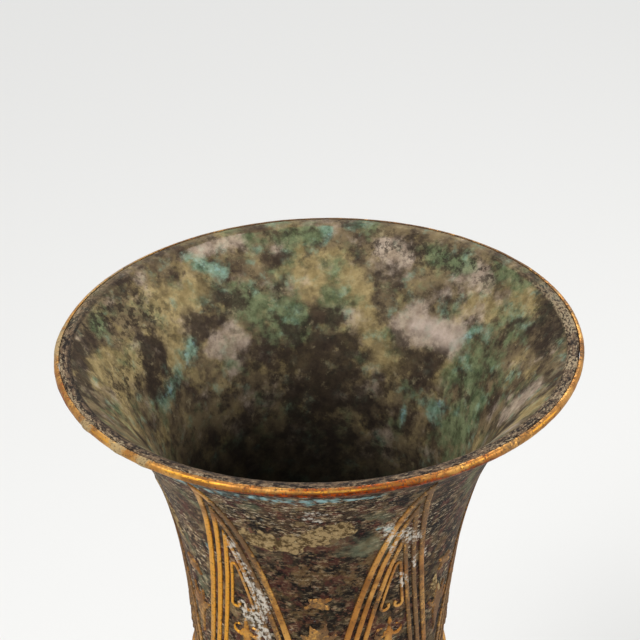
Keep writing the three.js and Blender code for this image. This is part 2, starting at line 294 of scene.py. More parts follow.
# %% [markdown]
# Shader maths reads best as plain expressions. A tap is one output of a node, and adding or multiplying
# taps adds Math nodes. Every other node of a material comes from one node method. Colours are written as
# they are seen on a screen.

# %% Taps and nodes


def srgb(red, green, blue):
    """A colour as seen on a screen, 0 to 255 a channel, as the linear light that shaders work in."""
    channel = np.array([red, green, blue]) / 255
    linear = np.where(channel <= 0.04045, channel / 12.92, ((channel + 0.055) / 1.055) ** 2.4)
    return (*linear.tolist(), 1.0)


class Tap:
    """One output of a node. Arithmetic on taps and numbers adds Math nodes to the same tree."""

    def __init__(self, nodes, socket):
        self.nodes = nodes
        self.socket = socket

    def maths(self, operation, first, second):
        """One Math node of two values."""
        return self.nodes.node("ShaderNodeMath", {"operation": operation}, {0: first, 1: second})

    def __add__(self, other):
        return self.maths("ADD", self, other)

    def __sub__(self, other):
        return self.maths("SUBTRACT", self, other)

    def __rsub__(self, other):
        return self.maths("SUBTRACT", other, self)

    def __mul__(self, other):
        return self.maths("MULTIPLY", self, other)

    __radd__ = __add__
    __rmul__ = __mul__


class Nodes:
    """The nodes of a material or a world under construction."""

    def __init__(self, owner):
        owner.use_nodes = True
        self.owner = owner
        self.tree = owner.node_tree
        self.tree.nodes.clear()

    def node(self, kind, settings=None, inputs=None, output=0):
        """Adds a node, sets its settings, then the values or links of its sockets; gives one output."""
        made = self.tree.nodes.new(kind)
        for name, value in (settings or {}).items():
            setattr(made, name, value)
        for key, value in (inputs or {}).items():
            if isinstance(value, Tap):
                self.tree.links.new(value.socket, made.inputs[key])
            else:
                made.inputs[key].default_value = value
        return Tap(self, made.outputs[output]) if len(made.outputs) else None

    def field(self, name):
        """A number stored on the points of the mesh, 0 where the mesh has none of that name."""
        return self.node("ShaderNodeAttribute", {"attribute_name": name}, output="Fac")

    def rise(self, value, low, high):
        """0 below low, 1 above high, with a smooth step between; falling where low is above high."""
        return self.node("ShaderNodeMapRange", {"interpolation_type": "SMOOTHSTEP"}, {
            "Value": value, "From Min": low, "From Max": high})

    def over(self, mask, under, colour):
        """A colour laid over another where a mask is 1. Each is a tap or three screen values."""
        under, colour = (tint if isinstance(tint, Tap) else srgb(*tint) for tint in (under, colour))
        return self.node("ShaderNodeMix", {"data_type": "RGBA"}, {0: mask, 6: under, 7: colour}, output=2)


print("mid grey on a screen is", round(srgb(128, 128, 128)[0], 3), "in linear light")

# %% [markdown]
# A corroded skin is made of noises, and of coats that lie over each other. A finish is a material that knows
# the kinds of both that this vase needs: even grain, streaks combed round the axis, stains with torn edges
# and veils that thin out.

# %% Finishes
COMB_DETAIL = 5.0
COMB_ROUGHNESS = 0.65
COMB_SHIFT = 0.1
VEIL_DETAIL = 7.0
VEIL_ROUGHNESS = 0.62
SEED_SHIFT = (0.37, 0.59, 0.83)


class Finish(Nodes):
    """A material with noises, torn stains, veils and layers of colour."""

    def grain(self, size, seed, detail=4.0, roughness=0.55, flatten=1.0):
        """Noise from 0 to 1 with features of about size millimetres, made lower by the flatten factor."""
        place = self.node("ShaderNodeTexCoord", output="Object")
        moved = self.node("ShaderNodeVectorMath", {"operation": "MULTIPLY_ADD"}, {
            0: place, 1: (1.0, 1.0, flatten), 2: tuple(shift * seed for shift in SEED_SHIFT)})
        return self.node("ShaderNodeTexNoise", {}, {
            "Vector": moved, "Scale": 1 / (size * MM), "Detail": detail, "Roughness": roughness})

    def combed(self, size, seed, stretch):
        """Noise in streaks round the axis: its place is the angle times the mouth's radius over the stretch,
        the distance from the axis and the level."""
        place = self.node("ShaderNodeTexCoord", output="Object")
        flat = self.node("ShaderNodeVectorMath", {"operation": "MULTIPLY"}, {0: place, 1: (1.0, 1.0, 0.0)})
        away = self.node("ShaderNodeVectorMath", {"operation": "LENGTH"}, {0: flat}, output="Value")
        parts = self.node("ShaderNodeSeparateXYZ", {}, {0: place}).socket.node.outputs
        x, y, z = (Tap(self, parts[axis]) for axis in "XYZ")
        angle = self.node("ShaderNodeMath", {"operation": "ARCTAN2"}, {0: x, 1: 0 - y})
        run = angle * (mouth_radius * MM / stretch) + COMB_SHIFT * seed
        combined = self.node("ShaderNodeCombineXYZ", {}, {0: run, 1: away, 2: z})
        return self.node("ShaderNodeTexNoise", {}, {
            "Vector": combined, "Scale": 1 / (size * MM),
            "Detail": COMB_DETAIL, "Roughness": COMB_ROUGHNESS})

    def layered(self, ground, coats):
        """A ground with coats, each a mask and a colour, laid over it one after another."""
        for mask, colour in coats:
            ground = self.over(mask, ground, colour)
        return ground

    def torn(self, name, tear, low, high):
        """A stored amount times 1 plus a noise about 0, so that its edge frays and its middle has holes."""
        return self.rise(self.field(name) * (1 + tear), low, high)

    def veil(self, name, size, seed, push, low, high):
        """Patches of a noise that a stored amount pushes up: few where it is 0 and closed where it is 1."""
        noise = self.grain(size, seed, detail=VEIL_DETAIL, roughness=VEIL_ROUGHNESS)
        return self.rise(noise + push * self.field(name), low, high)

    def surface(self, constants, varying, bump_height, bump_depth):
        """Ends the finish: constants are set on the shader, varying taps linked, and the bump added."""
        normal = self.node("ShaderNodeBump", {}, {
            "Strength": 1.0, "Distance": bump_depth * MM, "Height": bump_height})
        shader = self.node("ShaderNodeBsdfPrincipled", {}, {**constants, **varying, "Normal": normal})
        self.node("ShaderNodeOutputMaterial", {}, {"Surface": shader})
        return self.owner


print("the finish builder is ready")

# %% [markdown]
# The body of the vase is bronze under many coats of corrosion. Each coat is a noise of its own size laid
# over the last, and the stains that have a known place come from fields on the mesh, whose edges the noise
# makes ragged. Painting such a skin by hand would not carry over to the other side of the vase. The noises
# that several coats share are made once.

# %% The patina's shared noises


class Patina(Finish):
    """The corroded skin under construction, with the noises that its coats share."""

    def __init__(self):
        super().__init__(bpy.data.materials.new("patinated_bronze"))
        self.ragged = self.grain(3.4, 1, detail=7, roughness=0.65)
        self.fine = self.grain(1.4, 2, detail=5, roughness=0.6)
        self.streaks = self.grain(3.0, 4, detail=6, roughness=0.68, flatten=1.2)
        self.shade = self.rise(self.ragged, 0.30, 0.70)
        self.tear = (self.ragged - 0.5) * 2.4 + (self.fine - 0.5) * 1.4

    def patches(self, size, seed, low, high):
        """Patches that go from 0 to 1 where a noise goes from low to high."""
        return self.rise(self.grain(size, seed, detail=6, roughness=0.6), low, high)

    def tinted(self, dark, light):
        """A colour that goes from dark to light with the ragged noise."""
        return self.over(self.shade, dark, light)


print("the patina's noises are ready")

# %% [markdown]
# Outside, a dark brown skin has tan and red-brown patches, black streaks, tan dabs that gather here and
# there, and pale and cream flecks where dry dirt has stuck. Its dark patches are partly dark skin and partly
# painted shade, on the lower neck. The flattened noises give flecks that lie level, as wiping round the neck
# leaves them. The hollows of the friezes stay dark.

# %% Coats of the outside


def outer_coats(coat):
    """The outside's colour, from its dark ground up, and the mask of its pale flecks for the bump."""
    # Dark patches: dark skin, and on the lower neck painted shade.
    dark = coat.field("murk_and_shade")
    crowd = coat.veil("freckle", 18, 15, 0.30, 0.46, 0.64) * (1 - 0.85 * dark)
    ground = coat.over(coat.patches(14, 5, 0.40, 0.60), (22, 18, 15), (72, 56, 42))
    depths = coat.over(coat.patches(8, 28, 0.51, 0.58), (16, 13, 12), (98, 75, 47))
    dabs = coat.rise(coat.grain(2.0, 30, detail=6, roughness=0.68, flatten=1.8), 0.545, 0.59)
    gathered = coat.patches(12, 31, 0.42, 0.58)
    dab_colour = coat.over(coat.rise(coat.ragged, 0.42, 0.58), (112, 72, 55), (158, 135, 103))
    scratches = coat.grain(2.6, 26, detail=6, roughness=0.68, flatten=2.8)
    strokes = coat.grain(1.2, 29, detail=4, roughness=0.62, flatten=2.8)
    pale = coat.rise(0.75 * scratches + 0.35 * coat.ragged, 0.575, 0.66) * (0.2 + 0.8 * crowd)
    cream = coat.rise(strokes + (scratches - 0.5) * 0.8, 0.59, 0.69) * (0.1 + 0.9 * crowd)
    colour = coat.layered(ground, [
        (coat.patches(9, 21, 0.55, 0.63) * 0.5, (120, 103, 76)),
        (coat.patches(5, 16, 0.54, 0.60) * 0.65, (130, 109, 75)),
        (dark * 0.85, depths),
        (coat.patches(5, 6, 0.51, 0.58) * (0.75 - 0.25 * dark), (84, 46, 38)),
        (coat.rise(coat.streaks, 0.48, 0.40) * 0.9, (19, 15, 14)),
        (dabs * (0.3 + 0.65 * gathered) * (1 - 0.4 * dark), dab_colour),
        (pale * 0.85, (172, 149, 113)),
        (cream * 0.85, (206, 191, 165)),
        (coat.field("hollow") * 0.8, (25, 20, 17)),
    ])
    return colour, pale


print("the outside's coats are ready")

# %% [markdown]
# Inside, khaki, rosy grey, moss green and sea green melt into each other, and dark patches, partly painted
# shade at the back, crackle and mottling break them up; a pale bloom with a painted sheen lies on the rosy
# grey at the right back. Each of those colours is a veil: a noise that the stored amount of its stain pushes
# up, so that it thins out at its edge instead of ending in a line. The rosy and sandy places stay cleaner.

# %% Coats of the inside


def inner_coats(coat):
    """The inside's colour, from its brown ground up."""
    ground = coat.over(coat.patches(9, 8, 0.34, 0.66), (60, 49, 41), (124, 108, 81))
    clean = coat.rise(coat.field("rosy") + coat.field("sand"), 0.0, 1.0)
    # Dark patches: dark skin, and at the back painted shade.
    murk_and_shade = coat.veil("murk_and_shade", 5, 13, 0.22, 0.51, 0.68) * (1 - 0.6 * clean)
    crackle = coat.rise(coat.grain(2.2, 17, detail=6, roughness=0.7), 0.48, 0.58) * coat.field("crackle")
    mottle = coat.grain(3.6, 18, detail=8, roughness=0.72)
    return coat.layered(ground, [
        (coat.veil("sand", 8, 9, 0.36, 0.48, 0.72) * 0.85, coat.tinted((132, 115, 76), (178, 158, 112))),
        (coat.veil("rosy", 9, 12, 0.42, 0.52, 0.76) * 0.7, coat.tinted((140, 121, 107), (204, 185, 166))),
        (coat.veil("verdigris", 8, 19, 0.22, 0.50, 0.74) * 0.85, coat.tinted((64, 78, 53), (122, 134, 98))),
        (coat.veil("turquoise", 6, 20, 0.26, 0.52, 0.78) * 0.75, coat.tinted((80, 112, 90), (148, 178, 158))),
        (murk_and_shade * 0.85, coat.tinted((38, 31, 27), (66, 54, 44))),
        (crackle * 0.85, (46, 38, 32)),
        (coat.rise(mottle, 0.50, 0.36) * (0.55 - 0.35 * clean), (46, 38, 32)),
        (coat.rise(mottle, 0.56, 0.70) * 0.4, (176, 160, 126)),
        # A pale bloom with a painted sheen on it.
        (coat.field("bloom_and_sheen") * (0.2 + coat.fine), (206, 186, 172)),
    ])


print("the inside's coats are ready")

# %% [markdown]
# The flat land on top of the lip has been wiped round and round, so its streaks follow the circle. Two
# combed noises give brown lines and the finer threads of pale crumbs and black specks between them.

# %% Coats of the lip


def lip_coats(coat):
    """The colour of the lip's land: brown streaks, then crumbs, then specks."""
    lines = coat.combed(1.1, 14, 3.0)
    threads = coat.combed(0.5, 27, 2.2)
    crumbs = coat.rise(threads + 0.16 * coat.field("crumbs"), 0.55, 0.70)
    specks = coat.rise(threads + (coat.ragged - 0.5) * 0.6, 0.46, 0.36)
    ground = coat.over(coat.rise(lines, 0.42, 0.60), (40, 32, 28), (110, 90, 71))
    return coat.layered(ground, [(crumbs * 0.75, (172, 154, 124)), (specks * 0.8, (28, 22, 19))])


print("the lip's coats are ready")

# %% [markdown]
# Over all that lie the crusts: a green veil, turquoise with a brighter core, khaki earth and chalk, and then
# the painted shade of the throat and the hidden insides, near black. Last, the crowns of the relief are
# rubbed back to bare metal. The same masks make the crusts rough and dull and raise them in the bump.

# %% Patinated bronze
CHALK = (214, 206, 192)


def chalk_mask(coat, fine):
    """Where chalk lies: its stored amount, torn by a fine noise into crumbs."""
    return coat.torn("chalk", (fine - 0.5) * 6.0, 0.60, 1.20) * 0.8


def khaki_colour(coat):
    """Earth in two tints, with pale grit."""
    tint = coat.rise(coat.fine + (coat.ragged - 0.5) * 0.8, 0.40, 0.60)
    grit = coat.rise(coat.grain(0.8, 3, detail=3), 0.62, 0.70)
    return coat.over(grit * 0.7, coat.over(tint, (86, 68, 43), (170, 145, 103)), (206, 188, 148))


def patinated_bronze():
    """Outside, inside and lip, each where its field is 1, and the crusts over them."""
    coat = Patina()
    outer, pale = outer_coats(coat)
    colour = coat.over(coat.field("inside"), outer, inner_coats(coat))
    colour = coat.over(coat.field("land"), colour, lip_coats(coat))
    outside = 1 - coat.field("inside")
    green = coat.veil("verdigris", 6, 10, 0.26, 0.58, 0.84) * outside
    teal = coat.veil("turquoise", 2.4, 11, 0.34, 0.64, 0.88) * outside
    core = coat.torn("turquoise", coat.tear, 0.80, 1.30) * (0.3 + 0.5 * outside)
    crust = coat.torn("khaki", coat.tear, 0.42, 0.56) * 0.95
    chalk = chalk_mask(coat, coat.fine)
    rubbed = coat.rise(coat.field("rub") + (coat.fine - 0.5) * 0.9, 0.45, 0.8)
    colour = coat.layered(colour, [
        (green * 0.6, coat.tinted((82, 88, 70), (134, 138, 112))),
        (teal * 0.8, coat.tinted((108, 142, 137), (174, 202, 201))),
        (core, (146, 192, 198)),
        (crust, khaki_colour(coat)),
        (chalk, CHALK),
        # Painted shade, near black, in the throat and on the hidden insides.
        (coat.field("soot"), (15, 13, 11)),
        (rubbed, (166, 118, 58)),
    ])
    powdery = coat.rise(crust + green + teal + chalk, 0.0, 1.0)
    roughness = 0.50 + 0.14 * coat.fine + powdery * 0.25 - rubbed * 0.12
    height = 0.6 * coat.streaks + 0.35 * coat.fine + 0.4 * crust + 0.3 * chalk + 0.15 * pale
    return coat.surface(
        {"Specular IOR Level": 0.05},
        {"Base Color": colour, "Roughness": roughness, "Metallic": rubbed * 0.85},
        bump_height=height, bump_depth=0.30)


PATINA = patinated_bronze()
print("nodes in the patina:", len(PATINA.node_tree.nodes))

# %% [markdown]
# The hoop and the wires are brighter: rubbed bronze with the colour of old gold. Handling keeps the crowns
# bright, dirt stays along the edges, and the hoop turns a deep copper red in front. Painted glints of a
# yellower gold lie along the hoop's upper side, and a painted highlight, partly rubbed metal, lies on the
# left legs of one blade. Where grime or chalk has crept from the wall over a wire, the stored amounts of
# those stains cover it.

# %% Bright bronze


def bright_bronze():
    """Warm metal in two tints, tarnish in slow patches, painted glints, dirt in specks and along the edges.
    """
    coat = Finish(bpy.data.materials.new("bright_bronze"))
    fine = coat.grain(1.4, 2, detail=5, roughness=0.6)
    flecks = coat.grain(0.6, 22, detail=3)
    streaks = coat.grain(2.2, 25, detail=6, roughness=0.7, flatten=3.0)
    tarnish = coat.rise(coat.grain(6, 23, detail=6), 0.46, 0.66)
    copper = coat.over(coat.rise(streaks, 0.40, 0.62), (60, 20, 4), (168, 70, 7))
    ruddy = coat.rise(coat.field("ruddy") + (streaks - 0.5) * 0.8, 0.30, 0.70)
    # Painted glints, and on one blade a highlight that is partly rubbed metal.
    bright = coat.rise(coat.field("bright") + (streaks - 0.5) * 1.2, 0.35, 0.80)
    pale = coat.rise(coat.field("pale") + (fine - 0.5) * 1.2, 0.40, 0.75)
    grime = coat.torn("grime", (fine - 0.5) * 2.4 + (flecks - 0.5) * 1.5, 0.25, 0.85)
    edge = coat.rise(coat.field("edge") + (fine - 0.5) * 0.8, 0.55, 0.95)
    dirt = coat.rise(flecks + (streaks - 0.5) * 0.5 + edge * 0.08 + ruddy * 0.05, 0.58, 0.68)
    chalk = chalk_mask(coat, fine)
    ground = coat.over(coat.rise(coat.grain(14, 24), 0.40, 0.60), (170, 116, 56), (204, 154, 82))
    metal = coat.layered(ground, [
        (tarnish * 0.65, (128, 84, 44)),
        (ruddy, copper),
        # Painted glints.
        (bright, (218, 157, 56)),
        (pale * 0.85, (168, 148, 108)),
        (grime * 0.9, coat.over(fine, (50, 38, 30), (122, 90, 58))),
        (dirt * 0.7, (50, 34, 24)),
        (chalk, CHALK),
    ])
    covered = coat.rise(grime + dirt + pale + chalk, 0.0, 1.0)
    roughness = 0.40 + 0.16 * fine + tarnish * 0.12 + covered * 0.20 - ruddy * 0.06
    height = 0.5 * fine + 0.3 * flecks + 0.4 * streaks + 0.4 * chalk
    return coat.surface(
        {"Specular IOR Level": 0.25},
        {"Base Color": metal, "Roughness": roughness, "Metallic": 0.9 - covered * 0.85},
        bump_height=height, bump_depth=0.14)


GOLDEN = bright_bronze()
print("nodes in the bright bronze:", len(GOLDEN.node_tree.nodes))

# %% [markdown]
# Squared spirals fill the friezes of such vases. In each cell, the larger of the two distances from its
# middle grows outwards like the radius of a spiral, and the turn round the middle shifts it by one line in
# a full turn, so the lines wind inwards. Neighbouring cells are mirrored.

# %% Squared spirals
SPIRAL_PITCH = 2.3


def squared_spirals(across, along, width, height, pitch=SPIRAL_PITCH):
    """Relief from 0 to 1: a line where the larger distance over the pitch, less the turn, is near whole."""
    column = np.floor(across / width)
    row = np.floor(along / height)
    x = (across / width - column - 0.5) * width * np.where(column % 2, 1, -1)
    y = (along / height - row - 0.5) * height * np.where(row % 2, 1, -1)
    reach = np.maximum(np.abs(x), np.abs(y) * width / height)
    phase = reach / pitch - np.arctan2(y, x) / (2 * math.pi)
    wave = 0.5 + 0.5 * np.cos(2 * math.pi * phase)
    border = smoothstep(0.5 * width - np.abs(x), 0.15, 0.5)
    return smoothstep(wave, 0.35, 0.65) * border


print("spiral relief in the middle of a cell:", squared_spirals(np.array([4.0]), np.array([4.0]), 8, 8))

# %% [markdown]
# The stains on the neck that can be told apart are set down one by one, under what they are made of, and
# the dark patches and pale bloom also under the painted shade and sheen that they partly stand for: the line
# that they lie along, as angles from the front in degrees and depths below the lip, and their half width in
# millimetres at either end of it. Each is a ridge of amount on the mesh, and the finish tears its edge.
# Painting weights by hand would do as well, but a list can be read, moved and mended.

# %% Stains on the neck's walls
OUTSIDE_STAINS = {
    "khaki": [
        ([(-22, 35.5), (-11, 36.5), (0, 31.5), (7, 28.5)], 3.8, 3.4), ([(54, 66), (58, 74)], 1.6, 2.4),
        ([(-70, 36), (-66, 52)], 2.6, 1.6), ([(140, 34), (162, 40)], 7.0, 4.0),
        ([(205, 50), (212, 66)], 4.0, 7.0), ([(100, 70), (112, 82)], 3.0, 6.0),
        ([(255, 30), (270, 34)], 5.0, 3.0), ([(176, 84), (190, 92)], 3.0, 5.0),
    ],
    "freckle": [
        ([(-50, 18), (-20, 22), (6, 22)], 8.0, 8.0), ([(28, 34), (52, 44)], 6.0, 9.0),
        ([(-60, 40), (-58, 70)], 6.0, 6.0), ([(120, 20), (180, 24)], 10.0, 12.0),
    ],
    "verdigris": [
        ([(-22, 20), (-17, 18)], 2.6, 2.2), ([(12, 37), (22, 40)], 5.0, 4.0),
        ([(-52, 20), (-40, 28)], 2.6, 2.4), ([(-60, 50), (-54, 70)], 2.4, 3.0),
        ([(14, 24), (26, 28)], 1.4, 2.0), ([(48, 18), (58, 34)], 2.4, 3.0),
        ([(115, 18), (128, 26)], 5.0, 3.0), ([(225, 74), (236, 90)], 4.0, 7.0),
    ],
    "turquoise": [
        ([(-38, 14), (-15, 11.6), (4, 11.4)], 2.0, 2.3), ([(6, 11.5), (16, 11.8)], 1.1, 0.8),
        ([(-80, 10), (-66, 11)], 1.6, 1.0), ([(182, 10), (205, 11)], 1.2, 0.8),
        ([(19, 31), (24, 33)], 0.8, 1.0), ([(-46, 46), (-44, 50)], 0.8, 0.8),
        ([(-90, 11), (-84, 20)], 1.8, 1.2), ([(140, 12), (150, 11)], 0.9, 0.6),
    ],
    "chalk": [
        ([(-3, 19.5), (3, 20)], 1.5, 1.0), ([(-3, 23), (0, 24)], 1.4, 0.8),
        ([(-33, 38), (-28, 53)], 1.4, 2.2), ([(-27, 54), (-23, 68)], 2.2, 2.8),
        ([(-26, 68), (-21, 84)], 3.4, 2.6), ([(-33, 66), (-29, 72)], 1.6, 1.2),
        ([(23, 32), (26, 42)], 1.8, 1.4), ([(28, 36), (37, 42)], 2.0, 2.2),
        ([(39, 50), (40, 54)], 1.0, 0.8), ([(44, 49), (45, 53)], 0.9, 0.7),
        ([(32, 54), (36, 58)], 1.0, 1.4), ([(170, 40), (172, 54)], 2.0, 3.0),
        ([(92, 26), (95, 40)], 1.6, 1.0), ([(275, 58), (277, 72)], 1.4, 2.0),
    ],
    # Dark skin, and on the lower neck painted shade.
    "murk_and_shade": [
        ([(-10, 44), (4, 47), (14, 52)], 4.0, 6.0), ([(-8, 58), (4, 66), (8, 100)], 10.0, 9.0),
        ([(44, 60), (48, 96)], 8.0, 8.0), ([(60, 22), (56, 50)], 8.0, 9.0),
        ([(12, 24), (20, 48)], 3.0, 4.0), ([(110, 40), (128, 90)], 10.0, 14.0),
        ([(190, 24), (200, 90)], 8.0, 14.0), ([(-110, 30), (-96, 90)], 9.0, 12.0),
    ],
}
INSIDE_STAINS = {
    "turquoise": [
        ([(-145, 3.6), (-147, 5.4), (-153, 8)], 2.4, 1.5), ([(178, 1), (178, 3)], 1.8, 1.2),
        ([(130, 20.5), (124, 16)], 1.4, 1.5), ([(-134, 21), (-120, 27), (-109, 29)], 1.8, 2.7),
        ([(126, 36), (126, 40)], 1.5, 2.0), ([(143, 44), (143, 47)], 1.2, 1.2),
    ],
    "sand": [
        ([(-130, 9.3), (-137, 10.8), (-144, 10)], 3.5, 2.6), ([(-132, 14), (-127, 19), (-123, 24)], 2.2, 2.2),
        ([(-90, 8), (-98, 10), (-107, 14)], 2.8, 3.8), ([(-82, 7), (-82, 16)], 2.6, 2.6),
        ([(-176, 13), (174, 12.6), (169, 15)], 3.8, 3.8), ([(165, 22), (155, 32)], 3.2, 3.8),
        ([(131, 9.8), (123, 9.8)], 2.7, 2.4), ([(127, 26.5), (130, 32)], 1.6, 2.1),
        ([(120, 3.3), (111, 4.3)], 2.2, 1.9), ([(64, 4.5), (54, 8)], 3.0, 2.6),
        ([(-174, 6.5), (-168, 10.3)], 1.3, 1.3),
    ],
    "verdigris": [
        ([(-157, 15), (-164, 16), (-172, 17)], 4.2, 4.2), ([(-166, 24), (-172, 26)], 4.8, 3.8),
        ([(-161, 1.5), (-178, 2)], 2.4, 2.4), ([(149, 4.8), (138, 4.3)], 2.1, 2.1),
        ([(129, 2), (119, 2.2)], 2.6, 2.9), ([(115, 8.3), (110, 7.3)], 2.9, 2.6),
        ([(121, 22), (112, 28), (106, 40)], 8.0, 10.0), ([(176, 12), (175, 19)], 3.8, 4.4),
        ([(-112, 3), (-104, 4)], 2.2, 1.9), ([(20, 14), (-16, 26)], 8.0, 11.2),
    ],
    "rosy": [
        ([(-147, 1.2), (-160, 1.0)], 1.5, 1.2), ([(-141, 24), (-147, 25), (-153, 25)], 2.6, 2.4),
        ([(-146, 27), (-146, 33)], 2.4, 2.0), ([(163, 4), (155, 5.8)], 1.5, 1.8),
        ([(150, 20), (140, 21), (130, 20)], 3.6, 3.6), ([(138, 6.3), (130, 4.8)], 1.7, 1.7),
        ([(78, 18), (76, 9)], 3.2, 2.6), ([(50, 8), (30, 12)], 4.8, 6.4),
    ],
    # A pale bloom with a painted sheen, at the right back.
    "bloom_and_sheen": [([(147, 20.2), (138, 20.8), (130, 20.2)], 1.5, 2.2)],
    # Dark skin, and at the back painted shade.
    "murk_and_shade": [
        ([(-145, 12.5), (-154, 15)], 2.6, 2.9), ([(-136, 18), (-141, 20)], 2.2, 2.2),
        ([(-171, 6.6), (-170, 7.4)], 1.8, 1.8), ([(-180, 21), (175, 22)], 2.9, 2.6),
        ([(163, 12.5), (162, 13.5)], 1.8, 1.6), ([(-118, 16), (-108, 23)], 3.5, 3.5),
        ([(149, 29), (132, 31)], 4.2, 4.8), ([(-172, 32), (176, 40)], 8.0, 14.4),
        ([(-98, 2.6), (-84, 3.2), (-70, 2.8)], 2.6, 2.2), ([(108, 1.6), (94, 4)], 3.4, 3.0),
        ([(60, 20), (20, 34)], 8.0, 12.8),
    ],
    "crackle": [
        ([(-103, 2), (-123, 9)], 7.0, 8.0), ([(-112, 20), (-90, 14)], 7.0, 5.0),
        ([(108, 2), (91, 4)], 4.0, 4.0), ([(165, 4), (130, 4)], 3.0, 3.0),
    ],
}
for side, stains in (("outside", OUTSIDE_STAINS), ("inside", INSIDE_STAINS)):
    print("stains", side, {field: len(lines) for field, lines in stains.items()})

# %% [markdown]
# The wires share the wall's chalk and have stains of their own: grime that dulls them and a bright place,
# partly rubbed by hands and partly a painted highlight. The amount of a stain falls off as a bell to either
# side of its line.

# %% Stains on the wires, and the amount of a stain
STAIN_STEPS = 12
STAIN_WANDER = 4.0
WANDER_SIZE = 5.0
WANDER_SEEDS = (141, 151)
WIRE_STAINS = {
    "chalk": OUTSIDE_STAINS["chalk"],
    "grime": [
        ([(-31, 24), (-26, 46)], 3.0, 4.0), ([(-26, 46), (-20, 84)], 2.6, 4.0),
        ([(27, 14), (33, 30), (36, 46)], 3.0, 6.0), ([(38, 50), (46, 90)], 3.0, 5.0),
        ([(24, 60), (27, 96)], 1.4, 2.2), ([(30, 10), (31, 22)], 3.0, 3.0),
        ([(90, 8), (90, 108)], 26.0, 18.0), ([(-90, 8), (-90, 108)], 26.0, 18.0),
        ([(160, 30), (150, 70)], 8.0, 5.0), ([(60, 60), (61, 98)], 4.0, 6.0),
        ([(-3, 64), (4, 68), (4, 82)], 3.4, 3.6),
    ],
    # Rubbed metal and a painted highlight on the left legs of the front-left blade.
    "bright": [([(-38, 36), (-46, 104)], 5.0, 9.0)],
}


def stain_amounts(stains, angle, depth, radius):
    """For each field, the largest over its stains of 2 to the minus squared distance, in half widths. The
    place that is measured first wanders by a noise, so that no stain keeps a straight edge."""
    place = np.stack(np.broadcast_arrays(radius * np.sin(angle), radius * np.cos(angle), depth), axis=-1)
    across, down = (
        STAIN_WANDER * (clouds(place, WANDER_SIZE, seed, layers=3) - 0.5) for seed in WANDER_SEEDS)
    angle = angle + across / radius
    depth = depth + down
    amounts = {field: np.zeros(depth.shape) for field in stains}
    for field, lines in stains.items():
        for line, start, end in lines:
            run = np.linspace(0, len(line) - 1, STAIN_STEPS)
            turns = np.unwrap(np.radians([degrees for degrees, _ in line]))
            turns = np.interp(run, range(len(line)), turns)
            levels = np.interp(run, range(len(line)), [level for _, level in line])
            for turn, level, half in zip(turns, levels, np.linspace(start, end, STAIN_STEPS)):
                away = (angle - turn + math.pi) % (2 * math.pi) - math.pi
                reach = ((away * radius) ** 2 + (depth - level) ** 2) / half**2
                amounts[field] = np.maximum(amounts[field], np.exp2(-reach))
    return amounts


print("stains on the wires", {field: len(lines) for field, lines in WIRE_STAINS.items()})

# %% [markdown]
# The neck is one casting: up the outside, over the square land of the lip, down the inside and round the
# spigot that drops into the waist. It is one grid that closes on itself both ways, so the wall has a real
# thickness. This cell draws its profile and the frieze at its foot.

# %% Profile and frieze of the neck
NECK_FRIEZE_HEIGHT = 18.0
NECK_RING_HEIGHT = 2.0
SPIGOT_WALL = 1.2
SPIGOT_LENGTH = 8.0
FRIEZE_CELLS = 24
FRIEZE_MARGIN = 2.6
FRIEZE_FADE = 0.5
FRIEZE_ROWS = 42
WALL_ROWS = 84
INSIDE_ROWS = 66
INSIDE_CROWDING = 1.35
INSIDE_START = 0.8
HOOP_CLEARANCE = 0.6
SPIGOT_ROW = 3.0
NECK_SPIGOT_STEP = 0.2
LIP_CORNERS = np.array([
    (-1.8, -3.5), (-0.6, -3.4), (-0.15, -3.25), (0, -2.9), (0, -0.3), (-0.25, -0.05),
    (-0.9, 0.03), (-1.5, 0.03), (-2.1, 0), (-2.7, -0.12), (-3.2, -0.35)])

ring_level = neck_base + NECK_FRIEZE_HEIGHT
ring_top = ring_level + NECK_RING_HEIGHT / 2
neck_height = lip_top - neck_base
frieze_low = neck_base + FRIEZE_MARGIN
frieze_high = ring_level - NECK_RING_HEIGHT / 2


def neck_profile():
    """Radius, level and side of the wall's closed outline: side 1 outside, -1 inside, 0 lip and spigot.
    The rows of the inside crowd towards the lip by a power of their share of the depth."""
    low_rows = np.linspace(neck_base, ring_top, FRIEZE_ROWS, endpoint=False)
    high_rows = np.linspace(ring_top, lip_top - HOOP_HEIGHT - HOOP_CLEARANCE, WALL_ROWS)
    outer = np.concatenate([low_rows, high_rows])
    share = np.linspace(0, 1, INSIDE_ROWS) ** INSIDE_CROWDING
    inner = lip_top - (INSIDE_START + (neck_height - INSIDE_START) * share)
    spigot_r = spigot_inside + np.array([0, 0, SPIGOT_WALL, SPIGOT_WALL])
    spigot_z = neck_base - np.array([SPIGOT_ROW, SPIGOT_LENGTH, SPIGOT_LENGTH, NECK_SPIGOT_STEP])
    radius = np.concatenate([
        neck_outside(outer), lip_radius + LIP_CORNERS[:, 0], neck_inside(inner), spigot_r])
    z = np.concatenate([outer, lip_top + LIP_CORNERS[:, 1], inner, spigot_z])
    side = np.repeat([1, 0, -1, 0], [len(outer), len(LIP_CORNERS), len(inner), len(spigot_r)])
    return radius, z, side


def frieze_band(z):
    """1 between the collar and the ring, fading at its margins."""
    return smoothstep(z, frieze_low, frieze_low + FRIEZE_FADE) * smoothstep(frieze_high - z, 0, FRIEZE_FADE)


def neck_frieze(angle, z):
    """Squared spirals in the band between the collar and the ring."""
    width = 2 * math.pi * joint_radius / FRIEZE_CELLS
    cell = squared_spirals(angle * joint_radius, z - frieze_low, width, frieze_high - frieze_low)
    return frieze_band(z) * cell


print("rows in the neck's profile:", len(neck_profile()[0]))

